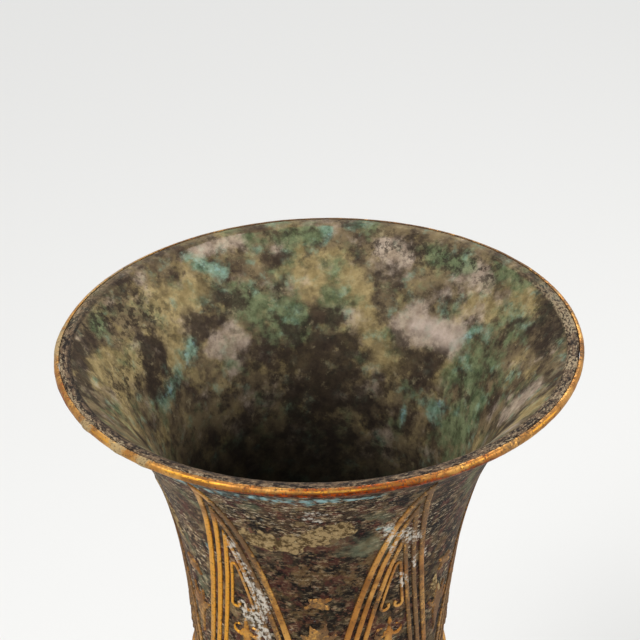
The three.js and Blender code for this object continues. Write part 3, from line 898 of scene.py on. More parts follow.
# %% [markdown]
# The neck's points are moved along the wall's own normal by the dents, the crust and the frieze. Its fields
# say where the stains lie, how much painted shade blackens the throat, more on the left, away from the light,
# than on the right and less at the sides, and how the lip's land is worn: it fades into the inside at the
# back, has a painted shadow along its inner edge at the left and pale crumbs at the right.

# %% Neck
NECK_SIDES = 464
FRIEZE_DEPTH = 0.55
FRIEZE_RUB = 0.55
CRUST_THICKNESS = 0.35
NECK_WEAR = (0.12, 2.4, 41)
# Painted shade in the throat: the depths over which it deepens, how dark it gets, how far it leans to the
# left, away from the light, and how much less it is at the sides.
THROAT_SHADE_DEPTH = (14.0, 66.0)
THROAT_SHADE_SHARE = 0.93
THROAT_SHADE_LEAN = 10.0
THROAT_SHADE_EASE = 6.0
LAND_DEPTH = 1.0
LAND_FADE = np.radians((90, 140))
LAND_FADED = 0.9
# Painted shadow on the land's inner edge, strongest at the left.
LAND_EDGE_SHADE = 0.6


def lip_fields(points, angle, land, inwards):
    """The land's amount, a painted shadow on its inner edge and its crumbs; inwards is the distance from its
    middle.
    """
    from_front = np.abs((angle + math.pi) % (2 * math.pi) - math.pi)
    right = np.sin(angle)
    shown = land * (1 - LAND_FADED * smoothstep(from_front, *LAND_FADE))
    # Painted shadow along the land's inner edge, darker on the left than on the right.
    painted_edge_shade = LAND_EDGE_SHADE * (0.5 - 0.5 * right) * shown * smoothstep(inwards, 0.4, 1.4)
    by_hoop = smoothstep(-inwards, -0.4, 0.9) * np.abs(right)
    broken = 0.25 + 0.75 * blotches(points, 7.0, 33, 0.40, 0.62)
    crumbs = land * broken * np.maximum(by_hoop, 0.8 * smoothstep(right, 0.3, 0.9))
    return shown, painted_edge_shade, crumbs


def neck_fields(points, angle, depth, radius, wall):
    """Stains by the side of the wall that they are on, and the masks of inside, land, crumbs and painted
    shade.
    """
    outside = stain_amounts(OUTSIDE_STAINS, angle, depth, radius)
    inside = stain_amounts(INSIDE_STAINS, angle, depth, radius)
    fields = {}
    for name in {**outside, **inside}:
        within = np.where(wall < 0, inside.get(name, 0.0), 0.0)
        fields[name] = np.where(wall > 0, outside.get(name, 0.0), within)
    land = ((wall == 0) & (depth < LAND_DEPTH)) * 1.0
    shown, painted_edge_shade, crumbs = lip_fields(points, angle, land, lip_radius - LIP_LAND / 2 - radius)
    fields["inside"] = np.broadcast_to((wall < 0) | (land > 0), depth.shape) * 1.0
    # Painted shade: the throat darkens with depth, less on the right and at the sides, where the light
    # reaches deeper.
    sooty_depth = depth - THROAT_SHADE_LEAN * np.sin(angle) - THROAT_SHADE_EASE * np.abs(np.sin(angle))
    soot = fields["inside"] * smoothstep(sooty_depth, *THROAT_SHADE_DEPTH) * THROAT_SHADE_SHARE
    return {**fields, "land": shown, "crumbs": crumbs, "soot": np.maximum(soot, painted_edge_shade)}


def make_neck():
    """The neck's closed grid: the frieze sinks its ground, and crusts and wear stand out from the wall."""
    radius, z, side = neck_profile()
    points = turned(radius, z, NECK_SIDES)
    angle = np.broadcast_to(around(NECK_SIDES), points.shape[:2])
    level = points[..., 2]
    wall = side[:, None]
    fields = neck_fields(points, angle, lip_top - level, radius[:, None], wall)
    frieze = neck_frieze(angle, level) * (wall > 0)
    fields["rub"] = frieze * FRIEZE_RUB
    fields["hollow"] = frieze_band(level) * (wall > 0) * (1 - frieze)
    crust = smoothstep(fields["khaki"] * (1 + (clouds(points, 4.0, 31) - 0.5) * 2.0), 0.40, 0.58)
    sunk = (frieze - 1) * FRIEZE_DEPTH * smoothstep(ring_top - level, 0, 1) * (wall > 0)
    lift = wall * dents(points) + sunk + CRUST_THICKNESS * crust * np.abs(wall) + wear(points, NECK_WEAR)
    return skin("neck_shell_cast", out_of_level(raised(points, radius, z, lift)), loop=True, **fields)


neck = dress("neck_shell", make_neck(), PATINA)
print("neck:", len(neck.data.polygons), "faces")

# %% [markdown]
# The hoop is a half-round band sprung round the lip. It is a turned ring whose section is half an ellipse,
# with a wavering crown, a few worn flats, and fields that say where its underside has gone red, where pale
# crust has crept over it, and where painted glints lie in a band along the upper side that faces the camera.

# %% Rim hoop
HOOP_SIDES = 720
HOOP_SECTION = 28
HOOP_SEAM = 0.15
HOOP_WORN = 0.15
HOOP_FULLNESS = 0.7
HOOP_WEAR = ((0.35, 9.0, 51), (0.16, 1.8, 52))
# Painted glints: the turn of the section where their band is centred, facing the camera, and its half width.
HOOP_GLINT_TURN = math.radians(38)
HOOP_GLINT_WIDTH = math.radians(22)
HOOP_DULL = 0.36
HOOP_RED = [(6, 31, 1.0), (-72, 12, 0.8), (93, 12, 0.7), (34, 10, 0.7)]
# Painted glints: angle, half width and amount of each highlight round the hoop.
HOOP_GLINTS = [
    (-27, 10, 1.0), (-52, 9, 0.7), (4, 16, 0.7), (33, 6, 0.6), (55, 7, 1.0), (75, 6, 0.6)]
HOOP_PALE = [
    (-92, 14, 0.9), (-124, 24, 0.8), (-58, 3, 1.0), (-47, 4, 0.9), (-39, 3, 0.9), (112, 16, 0.6)]
HOOP_GRIME = [
    (180, 56, 1.0), (128, 18, 0.9), (102, 9, 0.6), (84, 7, 0.6), (44, 5, 0.6), (-60, 8, 0.5)]


def spots(angle, places):
    """The largest of amount times e to the minus squared distance from each place (angle and half width in
    degrees, then amount)."""
    total = 0.0
    for place, half_width, amount in places:
        turn = (angle - math.radians(place) + math.pi) % (2 * math.pi) - math.pi
        total = np.maximum(total, amount * np.exp(-((turn / math.radians(half_width)) ** 2)))
    return total


def make_hoop():
    """Radius = inside + reach times cos t to a power, level = middle + half the height times sin t, with t
    from -90 to 90 degrees. The lift never takes a point past the mouth's radius."""
    turn = np.linspace(-math.pi / 2, math.pi / 2, HOOP_SECTION)
    reach = mouth_radius - HOOP_WORN - lip_radius - HOOP_SEAM
    radius = lip_radius + HOOP_SEAM + reach * np.cos(turn) ** HOOP_FULLNESS
    z = lip_top - HOOP_HEIGHT / 2 + HOOP_HEIGHT / 2 * np.sin(turn)
    points = turned(radius, z, HOOP_SIDES)
    angle = around(HOOP_SIDES)[None, :]
    outermost = np.cos(turn)[:, None]
    under = smoothstep(-np.sin(turn), -0.6, 0.6)[:, None]
    # The band of painted glints across the section.
    crown = np.exp(-(((turn - HOOP_GLINT_TURN) / HOOP_GLINT_WIDTH) ** 2))[:, None]
    pale = spots(angle, HOOP_PALE) * (0.6 + 0.5 * clouds(points, 5.0, 53))
    lift = wear(points, *HOOP_WEAR) * outermost + CRUST_THICKNESS * smoothstep(pale, 0.55, 0.9) * outermost
    lift = np.minimum(lift, (mouth_radius - radius)[:, None])
    return skin(
        "rim_hoop_worn", out_of_level(raised(points, radius, z, lift)), loop=True,
        ruddy=spots(angle, HOOP_RED) * (0.55 + 0.45 * under),
        bright=spots(angle, HOOP_GLINTS) * crown,
        pale=pale,
        grime=np.maximum(HOOP_DULL, spots(angle, HOOP_GRIME)),
        edge=0.9 * np.abs(np.sin(turn))[:, None] ** 6)


hoop = dress("rim_hoop", make_hoop(), GOLDEN)
print("hoop:", len(hoop.data.polygons), "faces")

# %% [markdown]
# Wires lie on the neck as upright blades of three nested chevrons. A wire is a bar between two edges drawn
# on the wall: at each place along its run a ring of points goes over its rounded crown and back under the
# wall's surface, so that it sits in the wall with no gap showing. Both walls that carry wires share one
# way to find a point on them: along the wall's outward normal by a lift.

# %% Points on the walls and bars laid on them
FOOT_FLARE_LENGTH = 24.0
FOOT_RING_LEDGE = 2.0
WIRE_SUNK = 0.6
WIRE_BASE = 0.08
WIRE_CROWN = 0.42
WIRE_SQUARENESS = 0.4
WIRE_RADIUS = 40.0
WIRE_SPACING = 50.0
BAR_POINTS = 11
SLOPE_STEP = 0.01
skirt_base = ring_height + SEAT_GAP
skirt_radius = foot_radius - FOOT_RING_LEDGE


def foot_wall(shoulder_radius, edge_radius):
    """A flare like the neck's, upside down, whose throat makes it meet the shoulder at a given radius."""
    left = math.exp(-(shoulder - skirt_base) / FOOT_FLARE_LENGTH)
    throat = (shoulder_radius - edge_radius * left) / (1 - left)
    return lambda z: throat + (edge_radius - throat) * np.exp((skirt_base - z) / FOOT_FLARE_LENGTH)


foot_outside = foot_wall(joint_radius, skirt_radius)
foot_inside = foot_wall(spigot_inside, skirt_radius - WALL)


def on_wall(radius_at, angle, z, lift):
    """The wall's point at an angle and level, moved along its normal by the lift and by the wall's dents."""
    radius = radius_at(z)
    slope = (radius_at(z + SLOPE_STEP) - radius_at(z - SLOPE_STEP)) / (2 * SLOPE_STEP)
    length = np.hypot(1, slope)
    base = np.stack([radius * np.sin(angle), -radius * np.cos(angle), z], axis=-1)
    normal = np.stack([np.sin(angle), -np.cos(angle), -slope], axis=-1) / length[..., None]
    return base + normal * (lift + dents(base))[..., None]


def bar(radius_at, centre, first, second, seed, stains):
    """Rings over a bar between two edges, each an array of angles and levels, and its fields. The crown is
    a sine to a power, uneven by a noise whose place is the run of the wire, apart from other wires'."""
    turn = np.linspace(0, math.pi, BAR_POINTS)
    share = np.concatenate([[0], 0.5 - 0.5 * np.cos(turn), [1]])
    crown = np.concatenate([[0], np.sin(turn) ** WIRE_SQUARENESS, [0]])
    sunk = np.concatenate([[1], np.zeros(BAR_POINTS), [1]])
    angle = first[0][:, None] + (second[0] - first[0])[:, None] * share
    z = first[1][:, None] + (second[1] - first[1])[:, None] * share
    place = np.stack([angle * WIRE_RADIUS, z, np.full_like(z, seed * WIRE_SPACING)], axis=-1)
    uneven = 0.8 + 0.4 * clouds(place, 3.0, 61)
    lift = WIRE_BASE + WIRE_CROWN * crown * uneven - (WIRE_SUNK + WIRE_BASE) * sunk
    turned_to = angle + centre(z)
    fields = stain_amounts(stains, turned_to, lip_top - z, radius_at(z)) if stains else {}
    fields["edge"] = np.abs(2 * share - 1) ** 3
    return on_wall(radius_at, turned_to, z, lift), fields


print(f"the foot's wall is {float(foot_outside(skirt_base)):.2f} mm in radius at the standing ring")

# %% [markdown]
# A chevron's two edges leave the middle line at its tip and spread by an angle for each millimetre. The
# outer edge meets its mirror image beyond the inner one, which gives the mitred point of a bent wire. The
# blades were laid by hand, so each leans a little to one side, by a sine of its number, and each wire's
# width wavers along its run.

# %% Lines of the chevrons
BLADE_COUNT = 6
BLADE_TIP_DEPTH = 15.5
BLADE_CLEARANCE = 1.0
BLADE_STRAY = math.radians(5.2)
STRAY_TURN = 2.95
FOOT_TIP_HEIGHT = 6.0
FOOT_BASE_DEPTH = 8.0
LEG_STEPS = 90
WAVER = 0.35
WAVER_SIZE = 7.0
WAVER_SEED = 71
WAVER_SPACING = 7.3
WAVER_EASE = 12

blade_pitch = 2 * math.pi / BLADE_COUNT
blade_tip = lip_top - BLADE_TIP_DEPTH
blade_base = ring_top + SEAT_GAP
foot_tip = skirt_base + FOOT_TIP_HEIGHT
foot_base = shoulder - FOOT_BASE_DEPTH
leg_run = np.linspace(-1, 1, 2 * LEG_STEPS + 1)


def nested(radius_at, tip, base, tip_step, foot_step, widths):
    """Place, width, tip and spread of each chevron: tips step along the wall and feet step across it."""
    way = math.copysign(1, base - tip)
    for nest, (place, width) in enumerate(widths.items()):
        own_tip = tip + way * tip_step * nest
        room = (widths["outer"] + BLADE_CLEARANCE) / 2 + foot_step * nest
        yield place, width, own_tip, (blade_pitch / 2 - room / radius_at(base)) / abs(base - own_tip)


def chevron_edge(radius_at, tip, base, spread, offset, waver):
    """Angles and levels up one side and down the other: spread times distance, plus offset over radius."""
    way = math.copysign(1, base - tip)
    edge_tip = tip - way * offset / (spread * radius_at(tip))
    z = edge_tip + (base - edge_tip) * np.abs(leg_run)
    angle = np.sign(leg_run) * (spread * (z - tip) * way + offset * waver / radius_at(z))
    return angle, z


def chevron(radius_at, centre, tip, base, spread, width, seed, stains):
    """A bar between two chevron edges half the width to either side; the width doesn't waver at the tip."""
    place = np.stack([leg_run * LEG_STEPS, 0 * leg_run, np.full_like(leg_run, seed * WAVER_SPACING)], axis=-1)
    swing = WAVER * (clouds(place, WAVER_SIZE, WAVER_SEED) - 0.5)
    waver = 1 + swing * np.minimum(1, WAVER_EASE * np.abs(leg_run))
    first = chevron_edge(radius_at, tip, base, spread, width / 2, waver)
    second = chevron_edge(radius_at, tip, base, spread, -width / 2, waver)
    return bar(radius_at, centre, first, second, seed, stains)


def leaning(blade):
    """The middle line of a neck blade: its own angle, plus a lean that grows from its base to its tip."""
    upright = (blade - 0.5) * blade_pitch
    stray = BLADE_STRAY * math.sin(STRAY_TURN * blade)
    return lambda z: upright + stray * (z - blade_base) / (blade_tip - blade_base)


def standing(middle):
    """A middle line that goes straight up at one angle."""
    return lambda z: middle + 0 * z


print(f"blades from {blade_base:.1f} to {blade_tip:.1f} mm, and from {foot_tip:.1f} to {foot_base:.1f} mm")

# %% [markdown]
# Six blades of three chevrons stand on the neck, and six of two hang on the foot. The foot's are laid in the
# same way on the other wall, straight and with no stains of their own. The tilt of the mouth ends at the
# neck's base, so one function can lay the wires of both walls.

# %% Chevron wires of the neck and the foot
CHEVRON_TIP_STEP = 11.5
CHEVRON_FOOT_STEP = 3.0
CHEVRON_WIDTHS = {"outer": 1.9, "middle": 1.6, "inner": 1.4}
FOOT_CHEVRON_TIP_STEP = 11.0
FOOT_CHEVRON_FOOT_STEP = 3.2
FOOT_CHEVRON_WIDTHS = {"outer": 1.7, "inner": 1.4}
BLADE_SEEDS = 10
FOOT_SEEDS = 80

neck_chevrons = list(nested(
    neck_outside, blade_tip, blade_base, CHEVRON_TIP_STEP, CHEVRON_FOOT_STEP, CHEVRON_WIDTHS))
foot_chevrons = list(nested(
    foot_outside, foot_tip, foot_base, FOOT_CHEVRON_TIP_STEP, FOOT_CHEVRON_FOOT_STEP, FOOT_CHEVRON_WIDTHS))


def lay(node, rings, fields):
    """Closes a wire's rings into a skin that follows the mouth's tilt, and puts it in its solid's place."""
    dress(node, skin(node + "_laid", out_of_level(rings), **fields), GOLDEN)


for blade in range(1, BLADE_COUNT + 1):
    seed = BLADE_SEEDS * blade
    for nest, (place, width, tip, spread) in enumerate(neck_chevrons):
        node = f"blade_{blade}_{place}_wire"
        lay(node, *chevron(
            neck_outside, leaning(blade), tip, blade_base, spread, width, seed + nest, WIRE_STAINS))
    upright = standing((blade - 0.5) * blade_pitch)
    for nest, (place, width, tip, spread) in enumerate(foot_chevrons):
        node = f"foot_blade_{blade}_{place}_wire"
        lay(node, *chevron(
            foot_outside, upright, tip, foot_base, spread, width, FOOT_SEEDS + seed + nest, None))
print("chevrons:", BLADE_COUNT * (len(CHEVRON_WIDTHS) + len(FOOT_CHEVRON_WIDTHS)))

# %% [markdown]
# Inside each blade hangs a narrow arch of thin wire whose two feet curl inwards. Its middle line is made of
# three arcs and the straight legs between them, stepped evenly along its length, and its two edges lie half
# the wire's width to either side.

# %% Scroll wires
SCROLL_TIP_DEPTH = 12.0
SCROLL_WIDTH = 0.9
SCROLL_ARCH_RADIUS = 0.9
SCROLL_LEG = 15.5
SCROLL_CLEARANCE = 0.75
HOOK_GAP = 1.1
HOOK_TURN = math.radians(225)
SCROLL_STEPS = 150

inner_width, inner_tip, inner_spread = neck_chevrons[-1][1:]
scroll_top = inner_tip - SCROLL_TIP_DEPTH
hook_level = scroll_top - SCROLL_LEG
inner_room = inner_spread * (inner_tip - hook_level) * neck_outside(hook_level) - inner_width / 2
scroll_half = inner_room - SCROLL_CLEARANCE - SCROLL_WIDTH / 2
hook_radius = (scroll_half - SCROLL_WIDTH / 2 - HOOK_GAP / 2) / 2


def arc(x, y, radius, start, end, steps=24):
    """Points on a circle from one angle to another."""
    turn = np.linspace(start, end, steps)
    return np.stack([x + radius * np.cos(turn), y + radius * np.sin(turn)], axis=-1)


def evenly(points, steps):
    """The same line cut into equal lengths."""
    run = np.concatenate([[0], np.cumsum(np.hypot(*np.diff(points, axis=0).T))])
    even = np.linspace(0, run[-1], steps)
    return np.stack([np.interp(even, run, points[:, 0]), np.interp(even, run, points[:, 1])], axis=-1)


def scroll_line():
    """Hook, leg, arch, leg and hook, as seen from outside, with the arch's middle at the origin."""
    hook_x = scroll_half - hook_radius
    left = arc(-hook_x, -SCROLL_LEG, hook_radius, math.pi + HOOK_TURN, math.pi)
    arch = arc(0, 0, SCROLL_ARCH_RADIUS, math.pi, 0)
    right = arc(hook_x, -SCROLL_LEG, hook_radius, 0, -HOOK_TURN)
    return evenly(np.concatenate([left, arch, right]), SCROLL_STEPS)


def scroll_edge(offset):
    """The middle line moved sideways by an offset, as angles and levels on the neck."""
    line = scroll_line()
    along = np.gradient(line, axis=0)
    along = along / np.linalg.norm(along, axis=-1, keepdims=True)
    x = line[:, 0] - along[:, 1] * offset
    z = scroll_top + line[:, 1] + along[:, 0] * offset
    return x / neck_outside(z), z


scroll_edges = [scroll_edge(SCROLL_WIDTH / 2), scroll_edge(-SCROLL_WIDTH / 2)]
for blade in range(1, BLADE_COUNT + 1):
    lay(f"blade_{blade}_scroll_wire", *bar(neck_outside, leaning(blade), *scroll_edges, blade, WIRE_STAINS))
print("scroll wires:", BLADE_COUNT)

# %% [markdown]
# Below each scroll stands a crest, and between two blades a leaf under a worn blossom, cut from thin sheet.
# Their outlines are strokes of changing width, such as a petal or a curl. A point's depth inside the outline
# is the largest of each stroke's half width less the distance to it.

# %% Outlines from strokes
STROKE_STEP = 0.2
PETAL_WIDTHS = (1.8, 0.5)
FAR_OUTSIDE = -10.0


def stroke(points, start_width, end_width):
    """A line's points, evenly spaced, each with a half width between the two given."""
    points = np.array(points, float)
    length = np.hypot(*np.diff(points, axis=0).T).sum()
    steps = max(2, int(length / STROKE_STEP))
    width = np.linspace(start_width, end_width, steps)
    return np.concatenate([evenly(points, steps), width[:, None]], axis=-1)


def curl(x, y, radius, start, end, start_width, end_width):
    """A stroke along an arc, its two angles in degrees."""
    return stroke(arc(x, y, radius, math.radians(start), math.radians(end)), start_width, end_width)


def petals(x, y, tips):
    """Strokes from a broad middle out to each petal's tip, narrowing as they go."""
    return [stroke([(x, y), (x + reach, y + drop)], *PETAL_WIDTHS) for reach, drop in tips]


def both_sides(strokes):
    """The strokes and their mirror images."""
    return strokes + [line * np.array([-1, 1, 1]) for line in strokes]


def depth_inside(x, y, strokes):
    """The largest, over all strokes, of half width less distance; above 0 inside the outline."""
    depth = np.full(np.broadcast(x, y).shape, FAR_OUTSIDE)
    for line in strokes:
        distance = np.hypot(x[..., None] - line[:, 0], y[..., None] - line[:, 1])
        depth = np.maximum(depth, (line[:, 2] - distance).max(axis=-1))
    return depth


print("strokes are ready")

# %% [markdown]
# A plate is a small grid on the wall that rises where that depth is above nothing and dips under the wall's
# surface elsewhere. Each of its rows goes there and back, so that the sheet is closed underneath. A noise
# added to the depth eats into the outline as wear does.

# %% Cut plates
PLATE_CROWN = 0.42
PLATE_BULGE = 0.12
PLATE_WEAR = 1.5
PLATE_WEAR_SIZE = 1.8
PLATE_WEAR_SEED = 81
PLATE_SPACING = 37.0
PLATE_SUNK = 0.5
PLATE_BACK = 1.1
PLATE_STEP = 0.2
PLATE_MARGIN = 1.4


def there_and_back(there, back):
    """Rows of points with others behind them, so that each row goes there and back."""
    return np.concatenate([there, back], axis=1)


def plate(node, centre, top, strokes, dirt):
    """Rings across a strip of the wall: over the raised outline, then back underneath."""
    lines = np.concatenate(strokes)
    half = np.abs(lines[:, 0]).max() + PLATE_MARGIN
    rows = np.arange(lines[:, 1].min() - PLATE_MARGIN, lines[:, 1].max() + PLATE_MARGIN, PLATE_STEP)
    x, y = np.meshgrid(np.arange(-half, half, PLATE_STEP), rows)
    place = np.stack([x, y, 0 * x + PLATE_SPACING * centre(top)], axis=-1)
    worn = PLATE_WEAR * (clouds(place, PLATE_WEAR_SIZE, PLATE_WEAR_SEED, layers=3) - 0.5)
    depth = depth_inside(x, y, strokes) + worn
    rise = (PLATE_SUNK + PLATE_CROWN) * smoothstep(depth, -0.12, 0.28)
    lift = -PLATE_SUNK + rise + PLATE_BULGE * smoothstep(depth, 0.1, 0.9)
    lift = there_and_back(lift, np.full_like(lift, -PLATE_BACK))
    edge = there_and_back(1 - smoothstep(depth, 0.1, 0.6), np.ones_like(depth))
    x = there_and_back(x, x[:, ::-1])
    z = top - there_and_back(y, y[:, ::-1])
    angle = x / neck_outside(z) + centre(z)
    amounts = stain_amounts(WIRE_STAINS, angle, lip_top - z, neck_outside(z))
    amounts["grime"] = np.maximum(amounts["grime"], dirt)
    points = on_wall(neck_outside, angle, z, lift)
    return skin(node + "_cut", out_of_level(points), edge=edge, **amounts)


print("plates are ready")

# %% [markdown]
# The crest is a spear with three pairs of curls. The leaf hangs under four petals and is turned over from
# one gap to the next. The leaves have more dirt on them than the crests.

# %% Crests and gap plates
CREST_TOP_GAP = 2.6
CREST_STROKES = (
    [
        stroke([(0, 0), (0, 5)], 0.3, 1.0), stroke([(0, 5), (0, 12)], 0.9, 1.9),
        stroke([(0, 12), (0, 19)], 1.9, 0.6), stroke([(0, 19), (0, 30)], 0.9, 0.25),
    ]
    + both_sides([
        curl(2.6, 5.6, 1.7, 165, -110, 0.8, 0.4),
        curl(3.6, 15.0, 2.1, 190, -90, 0.8, 0.35),
        curl(2.6, 22.0, 1.6, 190, -90, 0.7, 0.3),
    ])
)
GAP_STROKES = (
    petals(0.2, 3.4, [(-3.0, -1.6), (2.6, -1.4), (3.4, 1.6), (-2.6, 1.8)])
    + [
        stroke([(0, 16.6), (0, 21)], 2.7, 2.0), stroke([(0, 21), (0, 28.5)], 1.9, 0.3),
        stroke([(-1.3, 16.6), (-2.0, 11.6)], 1.5, 0.6), stroke([(1.4, 16.6), (2.4, 12.4)], 1.5, 0.6),
    ]
    + both_sides([stroke([(1.0, 18.0), (3.4, 17.6), (4.9, 16.2)], 1.7, 0.4)])
)
GAP_FOOT = 17.5
GAP_HEIGHT = 30.0
CREST_DIRT = 0.2
GAP_DIRT = 0.6
crest_top = hook_level - hook_radius - SCROLL_WIDTH / 2 - CREST_TOP_GAP
gap_top = ring_top + GAP_FOOT + GAP_HEIGHT

for number in range(1, BLADE_COUNT + 1):
    crest = f"blade_{number}_crest"
    crest_plate = plate(crest, leaning(number), crest_top, CREST_STROKES, CREST_DIRT)
    dress(crest, crest_plate, GOLDEN)
    drop = f"gap_{number}_drop"
    facing = [line * np.array([(-1) ** number, 1, 1]) for line in GAP_STROKES]
    gap_plate = plate(drop, standing((number - 1) * blade_pitch), gap_top, facing, GAP_DIRT)
    dress(drop, gap_plate, GOLDEN)
print("crests and gap plates:", 2 * BLADE_COUNT)

# %% [markdown]
# Three half-round rings cross the body: a bright one at the feet of the blades, and two dark collars over
# the soldered seams above and below the waist. Each is a turned ring with half an ellipse for its section,
# worn unevenly.

# %% Rings and collars
NECK_RING_THICKNESS = 0.9
COLLAR_HEIGHT = 4.0
COLLAR_THICKNESS = 1.8
RING_SIDES = 480
RING_SECTION = 16
RING_SUNK = 0.5
RING_BACK = 0.3


def half_round(name, inside, thickness, level, height, seed):
    """Radius = inside + thickness cos t, level = middle + half the height sin t, with the inside sunk."""
    turn = np.linspace(-math.pi / 2, math.pi / 2, RING_SECTION)
    radius = np.concatenate([inside + thickness * np.cos(turn), [inside - RING_SUNK, inside - RING_SUNK]])
    back = [level + height * RING_BACK, level - height * RING_BACK]
    z = np.concatenate([level + height / 2 * np.sin(turn), back])
    points = turned(radius, z, RING_SIDES)
    crown = np.concatenate([np.cos(turn), [0, 0]])[:, None]
    worn = wear(points, (0.28, 8.0, seed), (0.1, 1.6, seed + 9))
    points = raised(points, radius, z, worn * crown)
    rub = 0.75 * crown**2 * (0.45 + 0.8 * clouds(points, 10.0, seed + 5))
    return skin(name, points, loop=True, rub=rub, edge=1 - crown)


neck_ring = half_round(
    "neck_ring_worn", neck_outside(ring_top), NECK_RING_THICKNESS + SEAT_GAP,
    ring_level, NECK_RING_HEIGHT, 91)
dress("neck_ring", neck_ring, GOLDEN)
for node, seam, seed in (("upper_collar", waist_top, 92), ("lower_collar", waist_low, 93)):
    collar = half_round(node + "_worn", joint_radius, COLLAR_THICKNESS + SEAT_GAP, seam, COLLAR_HEIGHT, seed)
    dress(node, collar, PATINA)
print(f"ring at {ring_level:.1f} mm, collars at {waist_top:.1f} and {waist_low:.1f} mm")

# %% [markdown]
# The waist is the vase's richest band: a swelling drum with horned masks in low relief over a ground of
# squared spirals, a pattern as old as such vessels. The masks are drawn with the same strokes as the cut
# plates and repeat four times round, mirrored about their middle lines, and the ground is the frieze's.

# %% Relief of the waist
WAIST_BULGE = 3.6
WAIST_PANELS = 4
WAIST_FADE = 1.2
RELIEF_HEIGHT = 0.95
GROUND_DEPTH = 0.45
SPIRAL_CELL = 7.6
SPIRAL_SHIFT = 40
MASK_SWELL = 0.25
EYE_PLACE = (9.8, 2.8)
EYE_SIZE = (3.4, 2.5)
EYE_HEIGHT = 1.9
PUPIL_SIZE = 0.28
PUPIL_DEPTH = 0.5
MASK_STROKES = [
    stroke([(0, 16), (0, 2)], 1.6, 1.2), stroke([(0, 2), (0, -9)], 1.2, 2.1),
    curl(3.2, -11.0, 2.0, 150, -150, 0.9, 0.6),
    stroke([(3.0, 6.8), (7.5, 8.2), (13, 6.8), (16.8, 3.4)], 1.2, 0.7),
    stroke([(4.0, 1.0), (7.5, -2.0), (12.5, -1.6), (16, 1.6)], 0.8, 0.6),
    stroke([(4.2, 11.6), (8.5, 11.6), (12.4, 8.8)], 0.9, 1.6),
    curl(13.2, 12.6, 4.0, -100, 110, 1.6, 0.9),
    stroke([(5.0, -7.0), (9, -5.2), (14.6, -6.4)], 0.9, 1.5),
    curl(14.6, -10.6, 4.2, 88, -125, 1.5, 0.8),
    stroke([(8.2, -7.4), (8.6, -12.8)], 1.2, 0.4),
    stroke([(19.4, 0.2), (22.8, 3.0), (26.2, 3.4)], 1.1, 1.6),
    curl(26.0, 8.2, 4.6, -88, 120, 1.6, 0.8),
    stroke([(20.6, -2.4), (22.8, -6.8), (22.4, -11.4)], 1.5, 1.3),
    curl(25.6, -11.6, 3.2, 180, 370, 1.3, 0.7),
    stroke([(27.6, -1.2), (29.0, -4.4), (28.6, -7.0)], 1.2, 0.6),
]
waist_land = COLLAR_HEIGHT / 2 + SEAT_GAP


def waist_relief(angle, z):
    """Height above the ground in millimetres: spirals, and over them the masks' strokes and their eyes."""
    panel = 2 * math.pi / WAIST_PANELS
    across = np.abs((angle + panel / 2) % panel - panel / 2) * (joint_radius + WAIST_BULGE)
    along = z - (waist_low + waist_top) / 2
    depth = depth_inside(across, along, MASK_STROKES) + MASK_SWELL
    ground = GROUND_DEPTH * squared_spirals(across, along + SPIRAL_SHIFT, SPIRAL_CELL, SPIRAL_CELL)
    strokes = RELIEF_HEIGHT * smoothstep(depth, -0.1, 0.5)
    eye = np.hypot((across - EYE_PLACE[0]) / EYE_SIZE[0], (along - EYE_PLACE[1]) / EYE_SIZE[1])
    pupil = PUPIL_DEPTH * smoothstep(PUPIL_SIZE - eye, 0, 0.1)
    ball = EYE_HEIGHT * np.sqrt(np.clip(1 - eye**2, 0, 1)) - pupil
    clear = smoothstep(depth, -0.9, -0.4)
    relief = np.maximum(np.maximum(ground * (1 - clear), strokes), ball)
    ends = smoothstep(z, waist_low + waist_land, waist_low + waist_land + WAIST_FADE)
    return relief * ends * smoothstep(waist_top - waist_land - z, 0, WAIST_FADE)


print("strokes in half a mask:", len(MASK_STROKES))

# %% [markdown]
# The drum itself is one closed grid, up its outside and down its inside, where sockets for the spigots of
# neck and foot leave a belly between them. Slow clouds of noise weather it, as they do the foot.

# %% Waist drum
WAIST_SIDES = 620
WAIST_ROWS = 108
WAIST_INNER_ROWS = 30
WAIST_WEAR = (0.14, 2.0, 101)
# Painted shade on the drum's hidden inside.
WAIST_INSIDE_SHADE = 0.7
KHAKI_SHARE = 0.8
SOCKET_DEPTH = SPIGOT_LENGTH + SEAT_GAP
socket_radius = spigot_inside + SPIGOT_WALL + SEAT_GAP


def weathering(points):
    """Slow clouds of dark skin, green veil and pale flecks for the parts below the neck."""
    return {
        "murk_and_shade": blotches(points, 30.0, 161, 0.42, 0.66),
        "verdigris": blotches(points, 24.0, 171, 0.50, 0.72),
        "freckle": blotches(points, 20.0, 181, 0.56, 0.76),
    }


def swelling(z, margin):
    """Half a sine wave between the waist's two ends, less a margin at each."""
    share = np.clip((z - waist_low - margin) / (waist_top - waist_low - 2 * margin), 0, 1)
    return np.sin(math.pi * share)


